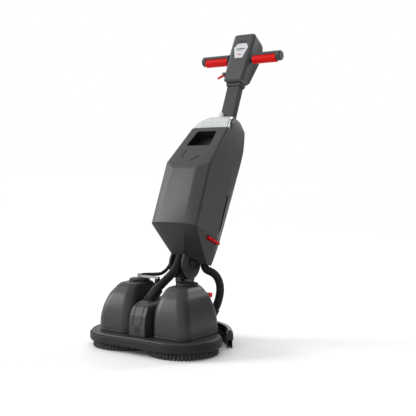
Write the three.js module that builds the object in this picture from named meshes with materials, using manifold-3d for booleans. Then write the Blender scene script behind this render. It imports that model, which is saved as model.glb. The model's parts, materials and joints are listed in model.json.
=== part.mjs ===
// Compact upright floor scrubber: twin contra-rotating brushes under a rounded deck, two clean-water
// tanks, a double-jointed neck and a leaning body with waste tank, battery, post and T-handle.
// Millimetres, +Z up, -Y is the front, the operator stands at +Y.

import * as THREE from "three";
import { ConvexGeometry } from "three/addons/geometries/ConvexGeometry.js";
import { mergeVertices } from "three/addons/utils/BufferGeometryUtils.js";
import Module from "manifold-3d";

const wasm = await Module();
wasm.setup();

// ---- driving dimensions -------------------------------------------------------------------------

const GAP = 0.3; // clearance between touching pieces
const ORIGIN_Y = 223; // distance from the brush line back to the middle of the footprint

const GEAR_MODULE = 4;
const IDLER_TEETH = 10;
const BRUSH_TEETH = 32;
const IDLER_PITCH_R = (GEAR_MODULE * IDLER_TEETH) / 2;
const BRUSH_PITCH_R = (GEAR_MODULE * BRUSH_TEETH) / 2;
const BRUSH_X = BRUSH_PITCH_R + 2 * IDLER_PITCH_R; // each brush axis from the middle
const GEAR_Z = 36;
const GEAR_T = 5.5;

const BRUSH_R = 102.7;
const TUFT_COUNT = 36;
const BRISTLE_TOP = 20;
const BLOCK_TOP = 35.4;

const DECK_R = 108;
const DECK_TOP = 49;
const DECK_BOTTOM = 23;
const DECK_WALL = 3.5;
const DECK_PLATE = 5;
const BUMPER_R = 113;
const BUMPER_TOP = 43;
const BUMPER_BOTTOM = 21;

const COVER_HALF_W = 29;
const COVER_FRONT = -84;
const COVER_BACK = 62;
const COVER_TOP = 150;

const TANK_FLOOR = DECK_TOP + GAP;
const TANK_TOP = 189;
const CAP = { x: 90, y: 41, r: 33, top: 197.5 };

const PEDESTAL_BACK = 190;
const STEER_Z = 188;
const NECK_Y = 153; // the tilt axis runs along X through (NECK_Y, NECK_Z)
const NECK_Z = 237;
const LEAN = THREE.MathUtils.degToRad(23);
const CHEEK_R = 49;
const CHEEK_IN = 20;
const CHEEK_OUT = 26;
const TONGUE_R = 17;

const AXLE_Y = 158;
const AXLE_Z = 34;
const WHEEL_R = 30;
const WHEEL_IN = 58;
const WHEEL_OUT = 80;

const SQUEEGEE_R = 218; // middle radius of the curved squeegee
const SQUEEGEE_Y = 8; // centre of that curve
const SQUEEGEE_HALF_ANGLE = THREE.MathUtils.degToRad(59.5);
const SQUEEGEE_T = 20;

const HOSE_R = 13;
// The front hose leaves the cover through a sleeve that slopes up and back.
const CUFF = { seat: [0, 4, 166], mouth: [0, 14, 173], beyond: [0, 44, 194] };
const SOLUTION_HOSE_R = 5.5;
// The rear hose plugs into an elbow that slopes up and to the right.
const ELBOW = { seat: [64, 214, 80], mouth: [71, 213.2, 90.5], beyond: [92, 210.8, 122] };

// Body dimensions, measured from the tilt axis: y backwards, z up along the leaning body.
const BODY_HALF_W = 85;
const BODY_FRONT = -122;
const SEAM_Y = 20;
const BODY_LOW = 92;
const BODY_SHOULDER = 446;
const POST = { halfW: 24.3, front: 35, back: 60, wall: 2.5, low: 405, top: 690 };
const BAR_Y = 45;
const BAR_Z = 746;
const BAR_R = 11;
const BAR_HALF_L = 152;
const POD_HALF_W = 43;

// ---- colours and finishes -----------------------------------------------------------------------

function finish(color, roughness, metalness) {
  return { color, roughness, metalness };
}

const GRAPHITE = finish(0x3c3d3e, 0.6, 0.0);
const CHARCOAL = finish(0x28292a, 0.65, 0.0);
const BLACK = finish(0x141414, 0.55, 0.0);
const GLOSS_BLACK = finish(0x101010, 0.2, 0.0);
const RED = finish(0xd11a16, 0.4, 0.0);
const LIGHT_GREY = finish(0xa9adae, 0.5, 0.0);
const CLEAR = finish(0xc8cccc, 0.2, 0.0);
const SILVER = finish(0xc9cbcc, 0.35, 0.6);
const STEEL = finish(0x8c8f92, 0.3, 1.0);
const BRISTLE = finish(0x222324, 0.8, 0.0);
const RUBBER = finish(0x1b1b1b, 0.85, 0.0);

// ---- solids -------------------------------------------------------------------------------------

function solid(geometry) {
  const bare = geometry.clone();
  bare.deleteAttribute("normal");
  bare.deleteAttribute("uv");
  const merged = mergeVertices(bare, 1e-4);
  const vertProperties = Float32Array.from(merged.attributes.position.array);
  const triVerts = Uint32Array.from(merged.index.array);
  return new wasm.Manifold(new wasm.Mesh({ numProp: 3, vertProperties, triVerts }));
}

function geometryOf(body) {
  const mesh = body.getMesh();
  const geometry = new THREE.BufferGeometry();
  const position = new THREE.BufferAttribute(Float32Array.from(mesh.vertProperties), 3);
  geometry.setAttribute("position", position);
  geometry.setIndex(new THREE.BufferAttribute(Uint32Array.from(mesh.triVerts), 1));
  return geometry;
}

function union(...bodies) {
  return bodies.reduce((all, next) => all.add(next));
}

function cut(body, ...tools) {
  return tools.reduce((left, tool) => left.subtract(tool), body);
}

// A box given by its limits on each axis.
function block([x0, x1], [y0, y1], [z0, z1]) {
  const geometry = new THREE.BoxGeometry(x1 - x0, y1 - y0, z1 - z0);
  geometry.translate((x0 + x1) / 2, (y0 + y1) / 2, (z0 + z1) / 2);
  return solid(geometry);
}

// A round bar between two points.
function rod(radius, from, to, sides = 16) {
  const a = new THREE.Vector3(...from);
  const b = new THREE.Vector3(...to);
  const along = b.clone().sub(a);
  const geometry = new THREE.CylinderGeometry(radius, radius, along.length(), sides);
  const turn = new THREE.Quaternion().setFromUnitVectors(
    new THREE.Vector3(0, 1, 0),
    along.normalize(),
  );
  geometry.applyQuaternion(turn);
  geometry.translate((a.x + b.x) / 2, (a.y + b.y) / 2, (a.z + b.z) / 2);
  return solid(geometry);
}

function hull(points) {
  return solid(new ConvexGeometry(points.map((p) => new THREE.Vector3(...p))));
}

// The same points and their mirror images left to right.
function bothSides(points) {
  return points.concat(points.map(([x, y, z]) => [-x, y, z]));
}

function outline(points) {
  return new THREE.Shape(points.map(([u, v]) => new THREE.Vector2(u, v)));
}

// An outline in the XY plane, raised from z0 to z1.
function slab(shape, z0, z1, curveSegments = 14) {
  const options = { depth: z1 - z0, bevelEnabled: false, curveSegments };
  const geometry = new THREE.ExtrudeGeometry(shape, options);
  geometry.translate(0, 0, z0);
  return solid(geometry);
}

const AXIS_X = new THREE.Vector3(1, 0, 0);
const AXIS_Y = new THREE.Vector3(0, 1, 0);
const AXIS_Z = new THREE.Vector3(0, 0, 1);

// An outline of (y, z) points, carried along X.
function profileX(points, x0, x1) {
  const options = { depth: x1 - x0, bevelEnabled: false };
  const geometry = new THREE.ExtrudeGeometry(outline(points), options);
  geometry.translate(0, 0, x0);
  geometry.applyMatrix4(new THREE.Matrix4().makeBasis(AXIS_Y, AXIS_Z, AXIS_X));
  return solid(geometry);
}

// An outline of (x, z), as points or as a shape, carried along Y.
function profileY(shape, y0, y1, curveSegments = 16) {
  const face = Array.isArray(shape) ? outline(shape) : shape;
  const options = { depth: y1 - y0, bevelEnabled: false, curveSegments };
  const geometry = new THREE.ExtrudeGeometry(face, options);
  geometry.translate(0, 0, -y1);
  const back = AXIS_Y.clone().negate();
  geometry.applyMatrix4(new THREE.Matrix4().makeBasis(AXIS_X, AXIS_Z, back));
  return solid(geometry);
}

function stadium(halfSpread, radius) {
  const shape = new THREE.Shape();
  shape.absarc(halfSpread, 0, radius, -Math.PI / 2, Math.PI / 2, false);
  shape.absarc(-halfSpread, 0, radius, Math.PI / 2, (3 * Math.PI) / 2, false);
  shape.closePath();
  return shape;
}

function roundedRing([x0, x1], [y0, y1], radius, z, steps = 3) {
  const centres = [
    [x1 - radius, y1 - radius],
    [x0 + radius, y1 - radius],
    [x0 + radius, y0 + radius],
    [x1 - radius, y0 + radius],
  ];
  return centres.flatMap(([cx, cy], corner) =>
    Array.from({ length: steps + 1 }, (_, i) => {
      const angle = ((corner + i / steps) * Math.PI) / 2;
      return [cx + radius * Math.cos(angle), cy + radius * Math.sin(angle), z];
    }),
  );
}

// A hose or cable: a plain round tube along a smooth route.
function hose(points, radius, sides, steps) {
  const route = new THREE.CatmullRomCurve3(points.map((p) => new THREE.Vector3(...p)));
  const section = outline(
    Array.from({ length: sides }, (_, i) => {
      const angle = (i * 2 * Math.PI) / sides;
      return [radius * Math.cos(angle), radius * Math.sin(angle)];
    }),
  );
  return new THREE.ExtrudeGeometry(section, { extrudePath: route, steps, bevelEnabled: false });
}

// Involute gear outline with its first tooth turned to the angle phase.
function gearShape(teeth, phase) {
  const pressure = THREE.MathUtils.degToRad(25);
  const pitchR = (GEAR_MODULE * teeth) / 2;
  const baseR = pitchR * Math.cos(pressure);
  const rootR = pitchR - 1.05 * GEAR_MODULE;
  const tipR = pitchR + 0.8 * GEAR_MODULE;
  const backlash = 0.35;
  const involute = (angle) => Math.tan(angle) - angle;
  const pitchHalf = ((Math.PI * GEAR_MODULE) / 2 - backlash) / (2 * pitchR);
  const halfAngle = (r) => {
    const flank = r > baseR ? involute(Math.acos(baseR / r)) : 0;
    return pitchHalf + involute(pressure) - flank;
  };
  const low = baseR > rootR ? [rootR, baseR] : [rootR];
  const radii = [...low, pitchR, tipR];
  const points = [];
  for (let tooth = 0; tooth < teeth; tooth += 1) {
    const middle = phase + (tooth * 2 * Math.PI) / teeth;
    const rising = radii.map((r) => [r, middle - halfAngle(r)]);
    const falling = radii.map((r) => [r, middle + halfAngle(r)]).reverse();
    for (const [r, angle] of [...rising, ...falling]) {
      points.push([r * Math.cos(angle), r * Math.sin(angle)]);
    }
  }
  return outline(points);
}

// ---- assembly helpers ---------------------------------------------------------------------------

function piece(parent, name, body, look, place = [0, 0, 0]) {
  const geometry = body instanceof THREE.BufferGeometry ? body : geometryOf(body);
  const mesh = new THREE.Mesh(geometry, new THREE.MeshStandardMaterial(look));
  mesh.name = name;
  mesh.position.set(...place);
  parent.add(mesh);
  return mesh;
}

const SIDES = [
  ["left", -1],
  ["right", 1],
];

function mirrored(body, side) {
  return side > 0 ? body : body.mirror([1, 0, 0]);
}

// ---- deck ---------------------------------------------------------------------------------------

function deckHousing() {
  const inner = stadium(BRUSH_X, DECK_R - DECK_WALL);
  const outer = slab(stadium(BRUSH_X, DECK_R), DECK_BOTTOM, DECK_TOP);
  const hollow = slab(inner, DECK_BOTTOM - 1, DECK_TOP - DECK_PLATE);
  const bores = [
    rod(8 + GAP, [BRUSH_X, 0, 40], [BRUSH_X, 0, 60]),
    rod(8 + GAP, [-BRUSH_X, 0, 40], [-BRUSH_X, 0, 60]),
    rod(4 + GAP, [IDLER_PITCH_R, 0, 40], [IDLER_PITCH_R, 0, 60], 16),
    rod(4 + GAP, [-IDLER_PITCH_R, 0, 40], [-IDLER_PITCH_R, 0, 60], 16),
  ];
  return cut(outer, hollow, ...bores);
}

function bumper() {
  const outer = slab(stadium(BRUSH_X, BUMPER_R), BUMPER_BOTTOM + 4, BUMPER_TOP);
  const lowEdge = slab(stadium(BRUSH_X, BUMPER_R - 2), BUMPER_BOTTOM, BUMPER_BOTTOM + 4);
  const inside = slab(stadium(BRUSH_X, DECK_R + GAP), BUMPER_BOTTOM - 1, BUMPER_TOP + 1);
  return cut(union(outer, lowEdge), inside);
}

function tombstone(halfW, top) {
  const shape = new THREE.Shape();
  shape.moveTo(halfW, 0);
  shape.lineTo(halfW, top - halfW);
  shape.absarc(0, top - halfW, halfW, 0, Math.PI, false);
  shape.lineTo(-halfW, 0);
  shape.closePath();
  return shape;
}

function motorCover() {
  const low = DECK_TOP + GAP;
  const side = (inset) => [
    [COVER_FRONT + inset, 0],
    [COVER_FRONT + inset, 84],
    [COVER_FRONT + 5 + inset, 108],
    [COVER_FRONT + 17 + inset, 131],
    [COVER_FRONT + 36 + inset, 146 - inset],
    [COVER_FRONT + 54 + inset, COVER_TOP - inset + 1],
    [COVER_BACK - inset, COVER_TOP - inset + 1],
    [COVER_BACK - inset, 0],
  ];
  const arch = profileY(tombstone(COVER_HALF_W, COVER_TOP), COVER_FRONT - 5, COVER_BACK);
  const skin = arch.intersect(profileX(side(0), -40, 40));
  const archIn = profileY(tombstone(COVER_HALF_W - 2.5, COVER_TOP - 2.5), -90, COVER_BACK - 2.5);
  const hollow = archIn.intersect(profileX(side(2.5), -40, 40));
  const foot = block([-40, 40], [-100, 100], [-1, low]);
  const hoseHole = rod(HOSE_R - 2, [0, -22, 125], [0, -22, 158]);
  const spoutHole = rod(3.3, [-21, 41, 120], [-21, 41, 160], 12);
  return cut(skin, hollow, foot, hoseHole, spoutHole);
}

// Short sleeve that holds the front suction hose on the cover.
function hoseCuff() {
  const sleeve = union(
    rod(HOSE_R + 4, [0, -26, 144], CUFF.mouth, 24),
    rod(HOSE_R + 6, [0, -22, 140], [0, -22, 156], 24),
  );
  const bore = rod(HOSE_R + GAP, CUFF.seat, CUFF.beyond, 24);
  const through = union(
    rod(HOSE_R - 2, [0, -22, 130], [0, -22, 153]),
    rod(HOSE_R - 2, [0, -22, 149], CUFF.beyond),
  );
  const archZ = COVER_TOP - COVER_HALF_W;
  const below = union(
    rod(COVER_HALF_W + GAP, [0, -60, archZ], [0, 60, archZ], 64),
    block([-30, 30], [-60, 60], [100, COVER_TOP + GAP - 4]),
  );
  return cut(sleeve, bore, through, below);
}

function pedestal() {
  const foot = block([-34, 34], [66, PEDESTAL_BACK - 6], [DECK_TOP + GAP, 60]);
  const column = hull([
    ...bothSides([
      [30, 122, 60],
      [30, 184, 60],
      [26, 134, 166],
      [26, 172, 166],
    ]),
  ]);
  const gusset = hull([
    ...bothSides([
      [14, 72, 59],
      [14, 125, 59],
      [14, 130, 120],
    ]),
  ]);
  const ear = (y0, y1) =>
    union(
      rod(18, [0, y0, STEER_Z], [0, y1, STEER_Z]),
      block([-16, 16], [y0, y1], [150, STEER_Z]),
    );
  const lug = block([-30, 30], [145, 171], [22, 60]);
  const rail = block([-8, 8], [178, 200], [44, 112]);
  const railHead = block([-13, 13], [195, 200], [44, 112]);
  const axleBore = rod(6 + GAP, [-40, AXLE_Y, AXLE_Z], [40, AXLE_Y, AXLE_Z]);
  const pinBore = rod(6 + GAP, [0, 110, STEER_Z], [0, 200, STEER_Z]);
  const whole = union(foot, column, gusset, ear(126, 134), ear(172, 180), lug, rail, railHead);
  return cut(whole, axleBore, pinBore);
}

function steerPin() {
  return union(
    rod(6, [0, 119, STEER_Z], [0, 187, STEER_Z]),
    rod(9.5, [0, 118, STEER_Z], [0, 125.6, STEER_Z], 6),
    rod(9.5, [0, 180.4, STEER_Z], [0, 188, STEER_Z], 6),
  );
}

function brushMotor() {
  const flange = block([-26, 26], [-30, 30], [DECK_TOP + GAP, 62]);
  const can = rod(23, [0, 0, 61], [0, 0, 122], 32);
  const bores = [-1, 1].map((s) =>
    rod(4 + GAP, [s * IDLER_PITCH_R, 0, 40], [s * IDLER_PITCH_R, 0, 60], 16),
  );
  return cut(union(flange, can), ...bores);
}

function solutionValve() {
  return union(
    block([-27, -15.5], [34, 48], [184, 199.7]),
    rod(3, [-21, 41, 136], [-21, 41, 186], 12),
  );
}

function solutionRail() {
  return union(
    block([-92, -15.5], [36, 46], [200, 206]),
    rod(8, [-90, 41, 198.7], [-90, 41, 211], 20),
  );
}

function wheelAxle() {
  const reach = WHEEL_OUT + 4;
  return union(
    rod(6, [-reach, AXLE_Y, AXLE_Z], [reach, AXLE_Y, AXLE_Z]),
    rod(9, [WHEEL_OUT + GAP, AXLE_Y, AXLE_Z], [reach, AXLE_Y, AXLE_Z]),
    rod(9, [-reach, AXLE_Y, AXLE_Z], [-WHEEL_OUT - GAP, AXLE_Y, AXLE_Z]),
  );
}

function wheel() {
  const half = (WHEEL_OUT - WHEEL_IN) / 2;
  const profile = [
    [6 + GAP, -half],
    [WHEEL_R - 2.5, -half],
    [WHEEL_R, -half + 3],
    [WHEEL_R, half - 3],
    [WHEEL_R - 2.5, half],
    [22, half],
    [20, half - 3],
    [6 + GAP, half - 3],
    [6 + GAP, -half],
  ].map(([r, h]) => new THREE.Vector2(r, h));
  const geometry = new THREE.LatheGeometry(profile, 20);
  geometry.rotateZ(-Math.PI / 2);
  return solid(geometry);
}

// ---- brushes and their gear train ---------------------------------------------------------------

function brushGear(phase) {
  return union(
    slab(gearShape(BRUSH_TEETH, phase), GEAR_Z, GEAR_Z + GEAR_T),
    rod(8, [0, 0, GEAR_Z + 1], [0, 0, DECK_TOP - 0.7]),
  );
}

function shaftGear(phase) {
  return union(
    slab(gearShape(IDLER_TEETH, phase), GEAR_Z, GEAR_Z + GEAR_T),
    rod(4, [0, 0, GEAR_Z + 1], [0, 0, 58], 16),
  );
}

function brushBlock() {
  return union(
    rod(96, [0, 0, BRISTLE_TOP + GAP], [0, 0, 30], 32),
    rod(70, [0, 0, 29], [0, 0, BLOCK_TOP], 32),
  );
}

// The bristle ring as a crown of coarse tufts.
function bristles() {
  const pitch = (2 * Math.PI) / TUFT_COUNT;
  const points = [];
  for (let i = 0; i < TUFT_COUNT; i += 1) {
    const marks = [
      [BRUSH_R, -0.33],
      [BRUSH_R, 0.33],
      [BRUSH_R - 9, 0.4],
      [BRUSH_R - 9, 0.6],
    ];
    for (const [r, part] of marks) {
      const angle = (i + part) * pitch;
      points.push([r * Math.cos(angle), r * Math.sin(angle)]);
    }
  }
  const crown = slab(outline(points), 0, BRISTLE_TOP);
  return crown.subtract(rod(52, [0, 0, -1], [0, 0, BRISTLE_TOP + 1], 24));
}

// ---- clean-water tanks --------------------------------------------------------------------------

function cleanTank() {
  const rings = (inset) => [
    ...roundedRing([38 + inset, 165 - inset], [-74 + inset, 110 - inset], 30, TANK_FLOOR + inset),
    ...roundedRing([38 + inset, 163 - inset], [-73 + inset, 108 - inset], 32, 92),
    ...roundedRing([39 + inset, 156 - inset], [-66 + inset, 103 - inset], 32, 126),
    ...roundedRing([45 + inset, 144 - inset], [-52 + inset, 95 - inset], 30, 158 - inset / 2),
    ...roundedRing([52 + inset, 129 - inset], [-32 + inset, 82 - inset], 26, 182 - inset),
    ...roundedRing([57 + inset, 122 - inset], [-22 + inset, 76 - inset], 24, TANK_TOP - inset),
  ];
  const skin = hull(rings(0));
  const inside = hull(rings(4));
  const neck = rod(CAP.r - 7.5, [CAP.x, CAP.y, 170], [CAP.x, CAP.y, 200]);
  const pocket = block([118.5, 135.5], [84, 120], [149, 163.4]);
  const pocketBox = block([114.5, 139.5], [80, 120], [145, 167.4]);
  const hollow = inside.add(neck).subtract(pocketBox);
  return cut(skin, hollow, pocket);
}

function tankCap() {
  const lid = rod(CAP.r, [0, 0, TANK_TOP + GAP], [0, 0, CAP.top - 3], 24);
  const crown = rod(CAP.r - 3, [0, 0, CAP.top - 4], [0, 0, CAP.top], 24);
  const plug = rod(CAP.r - 8 - GAP, [0, 0, 178], [0, 0, TANK_TOP + 1]);
  const loop = new THREE.Shape();
  loop.absarc(0, 0, 7, 0, Math.PI, false);
  loop.absarc(0, 0, 4, Math.PI, 0, true);
  loop.closePath();
  const bail = profileY(loop, -2, 2, 6).translate([19, 0, CAP.top - 0.6]);
  return union(lid, crown, plug, bail);
}

function tankRelease() {
  return block([119, 135], [88, 106], [149.5, 163]);
}

// ---- squeegee -----------------------------------------------------------------------------------

// A band curved round the back of the deck, between two radii.
function arcBand(inner, outer, halfAngle, z0, z1, steps = 28) {
  const start = Math.PI / 2 - halfAngle;
  const end = Math.PI / 2 + halfAngle;
  const ring = (radius, from, to) =>
    Array.from({ length: steps + 1 }, (_, i) => {
      const angle = from + ((to - from) * i) / steps;
      return [radius * Math.cos(angle), SQUEEGEE_Y + radius * Math.sin(angle)];
    });
  const points = [...ring(outer, start, end), ...ring(inner, end, start)];
  return slab(outline(points), z0, z1);
}

function squeegeeBody() {
  const half = SQUEEGEE_T / 2;
  const angle = SQUEEGEE_HALF_ANGLE;
  const band = arcBand(SQUEEGEE_R - half, SQUEEGEE_R + half, angle, 24, 46);
  const ridge = arcBand(SQUEEGEE_R - half + 4, SQUEEGEE_R + half - 4, angle, 46, 54);
  const saddle = hull([
    ...bothSides([
      [26, 201, 24],
      [26, 216, 24],
      [22, 201, 86],
      [22, 210, 86],
    ]),
  ]);
  const groove = union(
    block([-8 - GAP, 8 + GAP], [170, 202], [0, 200]),
    block([-13 - GAP, 13 + GAP], [195 - GAP, 200 + GAP + 0.4], [0, 200]),
  );
  const guide = block([-22, 22], [190.5, 206], [24, 86]);
  const port = rod(HOSE_R - 3, [56, 215, 30], [56, 215, 70]);
  return cut(union(band, ridge, saddle, guide), groove, port);
}

function squeegeeBlade(radius) {
  return arcBand(radius - 1.5, radius + 1.5, SQUEEGEE_HALF_ANGLE - 0.01, 0, 24 - GAP);
}

// Swivel elbow that takes the rear suction hose.
function suctionElbow() {
  const base = rod(18, [56, 215, 54 + GAP], [56, 215, 66], 20);
  const knee = rod(HOSE_R + 3.5, [54, 215.2, 66], ELBOW.mouth, 20);
  const bore = rod(HOSE_R + GAP, ELBOW.seat, ELBOW.beyond, 24);
  const through = union(
    rod(HOSE_R - 3, [56, 215, 40], [56, 215, 72]),
    rod(HOSE_R - 3, [56, 215, 68], ELBOW.beyond),
  );
  const flat = block([20, 100], [180, 240], [30, 54 + GAP]);
  return cut(union(base, knee), bore, through, flat);
}

// ---- neck ---------------------------------------------------------------------------------------

function yoke() {
  const steerY = [NECK_Y - 18.5, NECK_Y + 18.5];
  const hub = rod(TONGUE_R, [0, steerY[0], STEER_Z], [0, steerY[1], STEER_Z], 24);
  const shank = block([-14, 14], [NECK_Y - 15, NECK_Y + 15], [STEER_Z, NECK_Z]);
  const eye = rod(TONGUE_R, [-19.7, NECK_Y, NECK_Z], [19.7, NECK_Y, NECK_Z], 24);
  const steerBore = rod(6 + GAP, [0, 120, STEER_Z], [0, 190, STEER_Z]);
  const tiltBore = rod(7 + GAP, [-30, NECK_Y, NECK_Z], [30, NECK_Y, NECK_Z]);
  return cut(union(hub, shank, eye), steerBore, tiltBore);
}

function tiltPin() {
  return union(
    rod(7, [-31, 0, 0], [31, 0, 0]),
    rod(12, [CHEEK_OUT + GAP, 0, 0], [31, 0, 0]),
    rod(12, [-31, 0, 0], [-CHEEK_OUT - GAP, 0, 0]),
  );
}

// ---- body ---------------------------------------------------------------------------------------

// Where the rear hose runs out of the housing and turns to the right.
const REAR_SOCKET = [
  [41.5, 47, 34],
  [41.5, 48.5, 8],
  [52, 51, -1],
  [68, 53, -4],
];

function lowerHousing() {
  const shell = hull(
    bothSides([
      [46, -119, BODY_LOW - GAP],
      [BODY_HALF_W, -104, BODY_LOW - GAP],
      [BODY_HALF_W, SEAM_Y, BODY_LOW - GAP],
      [72, 55, BODY_LOW - GAP],
      [46, -116, 88],
      [42, -46, 42],
      [20, -54, 24],
      [22, -44, 13],
      [60, 20, 46],
      [60, 62, 52],
      [58, 36, 9],
      [57, 64, 10],
    ]),
  );
  const yokeRoom = profileX(
    [
      [-23, -70],
      [-23, 8],
      [-15, 20],
      [15, 20],
      [80, 34],
      [80, -70],
    ],
    -CHEEK_OUT,
    CHEEK_OUT,
  );
  const cheeks = [-1, 1].map((s) =>
    rod(CHEEK_R, [s * CHEEK_IN, 0, 0], [s * CHEEK_OUT, 0, 0], 40),
  );
  const tongueRoom = rod(TONGUE_R + 3, [-CHEEK_IN, 0, 0], [CHEEK_IN, 0, 0], 24);
  const midRoom = rod(CHEEK_R + 1, [-CHEEK_IN, 0, 0], [CHEEK_IN, 0, 0], 40).intersect(
    block([-CHEEK_IN, CHEEK_IN], [-23, 80], [-70, 22]),
  );
  const hoseHole = rod(HOSE_R + 1, [0, -35, -30], [0, -35, 62], 24);
  const cableHole = rod(SOLUTION_HOSE_R + 1, [-37.5, -23.6, -18], [-29, -17.4, 33]);
  const rearSocket = REAR_SOCKET.slice(1).map((to, i) => rod(HOSE_R + 1.5, REAR_SOCKET[i], to, 20));
  const clipRecess = block([74, 100], [-31, 42], [73, 87]);
  const solidBody = cut(shell, yokeRoom);
  const withCheeks = union(solidBody, ...cheeks);
  const rooms = [tongueRoom, midRoom, hoseHole, cableHole, clipRecess, ...rearSocket];
  const whole = cut(withCheeks, ...rooms);
  const pinRoom = [-1, 1].map((s) => rod(13, [s * CHEEK_OUT, 0, 0], [s * 60, 0, 0]));
  const pinBore = rod(7 + GAP, [-40, 0, 0], [40, 0, 0]);
  return cut(whole, ...pinRoom, pinBore);
}

function tankClip() {
  return union(
    block([76, 88.5], [-29, 31], [76.5, 83.5]),
    rod(6, [82, 34, 76.5], [82, 34, 83.5], 20),
  );
}

// The seam between waste tank and rear housing, seen from the side, up to the body's shoulder.
function tankOutline(inset) {
  const w = BODY_HALF_W - inset;
  return [
    [47 - inset / 2, BODY_FRONT + 2 + inset, BODY_LOW + inset],
    [w, -105 + inset / 2, BODY_LOW + inset],
    [w, SEAM_Y - inset, BODY_LOW + inset],
    [47 - inset / 2, BODY_FRONT + inset, 272 - inset / 2],
    [w, -107 + inset / 2, 295 - inset / 2],
    [w, SEAM_Y - inset, 345],
    [71 - inset, -40 + inset, BODY_SHOULDER - inset / 2],
    [71 - inset, -16 - inset, BODY_SHOULDER - inset / 2],
  ];
}

const MOTOR_BOX = { halfW: 60, front: -24, low: 96, top: 349 };
const LID_HALF_W = 49;
const LID_BACK = 30;
const NECK_BOX = { halfW: 52, back: 12, low: 353 };

function wasteTank() {
  const skin = hull(bothSides(tankOutline(0)));
  const behindSeam = profileX(
    [
      [SEAM_Y - GAP, 60],
      [SEAM_Y - GAP, 345],
      [-16 - GAP, 447],
      [-16 - GAP, 500],
      [200, 500],
      [200, 60],
    ],
    -120,
    120,
  );
  const { halfW, front, low, top } = MOTOR_BOX;
  const motorRoom = block([-halfW - GAP, halfW + GAP], [front - GAP, 60], [low - GAP, top + GAP]);
  const neckBulge = block(
    [-NECK_BOX.halfW, NECK_BOX.halfW],
    [-30, NECK_BOX.back],
    [NECK_BOX.low, BODY_SHOULDER],
  );
  const insideAll = hull(bothSides(tankOutline(4)));
  const cavity = insideAll
    .intersect(block([-90, 90], [-130, 60], [BODY_LOW + 4, 344]))
    .subtract(
      block([-halfW - 4, halfW + 4], [front - 4, 60], [0, top + 4]),
    )
    .subtract(behindSeam.translate([0, -4, 0]));
  // The way up from the main room to the mouth goes over the motor box.
  const throat = block([-46, 46], [-60, -28], [330, 345]);
  const riser = block([-46, 46], [-36, -28.5], [338, 362]);
  const step = block([-46, 46], [-36, 8], [353.5, 362]);
  const neck = block([-46, 46], [-10, 8], [353.5, 460]);
  const slope = Math.atan2(82, 174);
  return cut(
    skin.subtract(behindSeam).subtract(motorRoom).add(neckBulge),
    cavity,
    throat,
    riser,
    step,
    neck,
    carryPocket(slope),
    shieldGroove(slope),
  );
}

// The carry grip: a pocket sunk square to the slanted upper face.
function carryPocket(slope) {
  const shape = outline([
    [-42, -35],
    [42, -35],
    [44, -29],
    [37, 33],
    [32, 36],
    [-32, 36],
    [-37, 33],
    [-44, -29],
  ]);
  const geometry = new THREE.ExtrudeGeometry(shape, { depth: 50, bevelEnabled: false });
  return placeOnSlope(solid(geometry), slope, 397, -26);
}

// A shallow shield-shaped line below the grip.
function shieldGroove(slope) {
  const ring = outline([
    [-34, 22],
    [34, 22],
    [34, 19],
    [-30.5, 19],
    [-30.5, -6],
    [0, -30],
    [30.5, -6],
    [34, -7.5],
    [0, -34],
    [-34, -8],
  ]);
  const geometry = new THREE.ExtrudeGeometry(ring, { depth: 20, bevelEnabled: false });
  return placeOnSlope(solid(geometry), slope, 326, -1.4);
}

// Lays a piece drawn in (x, up the slope, outwards) on the slanted face, at the height z.
function placeOnSlope(body, slope, z, depth) {
  const y = -40 - ((BODY_SHOULDER - z) * 82) / 174;
  const turn = new THREE.Matrix4().makeRotationX(Math.PI / 2 - slope);
  const shift = new THREE.Matrix4().makeTranslation(0, y, z);
  const sink = new THREE.Matrix4().makeTranslation(0, 0, depth);
  const matrix = shift.multiply(turn).multiply(sink);
  return body.transform(matrix.elements);
}

// The lid's solid form, grown or shrunk by g: two wings in front of the seam and a narrower dome
// behind it that clears the housing's mouth as the lid swings up about its front edge.
function lidForm(g, low) {
  const wings = hull(
    bothSides([
      [69 + g, -38 - g, low],
      [67 + g, -16.4 + g, low],
      [60 + g, -33 - g, 464 + g],
      [57 + g, -16.4 + g, 481 + g],
      [50 + g, -16.4 + g, 488 + g],
    ]),
  );
  const dome = hull(
    bothSides([
      [LID_HALF_W + g, -24, low],
      [LID_HALF_W + g, LID_BACK + g, low],
      [LID_HALF_W + g, -17, 484 + g],
      [LID_HALF_W - 1 + g, LID_BACK + g, 497 + g],
      [41 + g, 6 - g, 508 + g],
      [38 + g, LID_BACK + g, 515 + g],
    ]),
  );
  return union(wings, dome);
}

function wasteLid() {
  const tab = block([-22, -8], [22, 32], [508, 531]);
  return cut(lidForm(0, 447.3).add(tab), lidForm(-2.5, 440));
}

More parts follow.
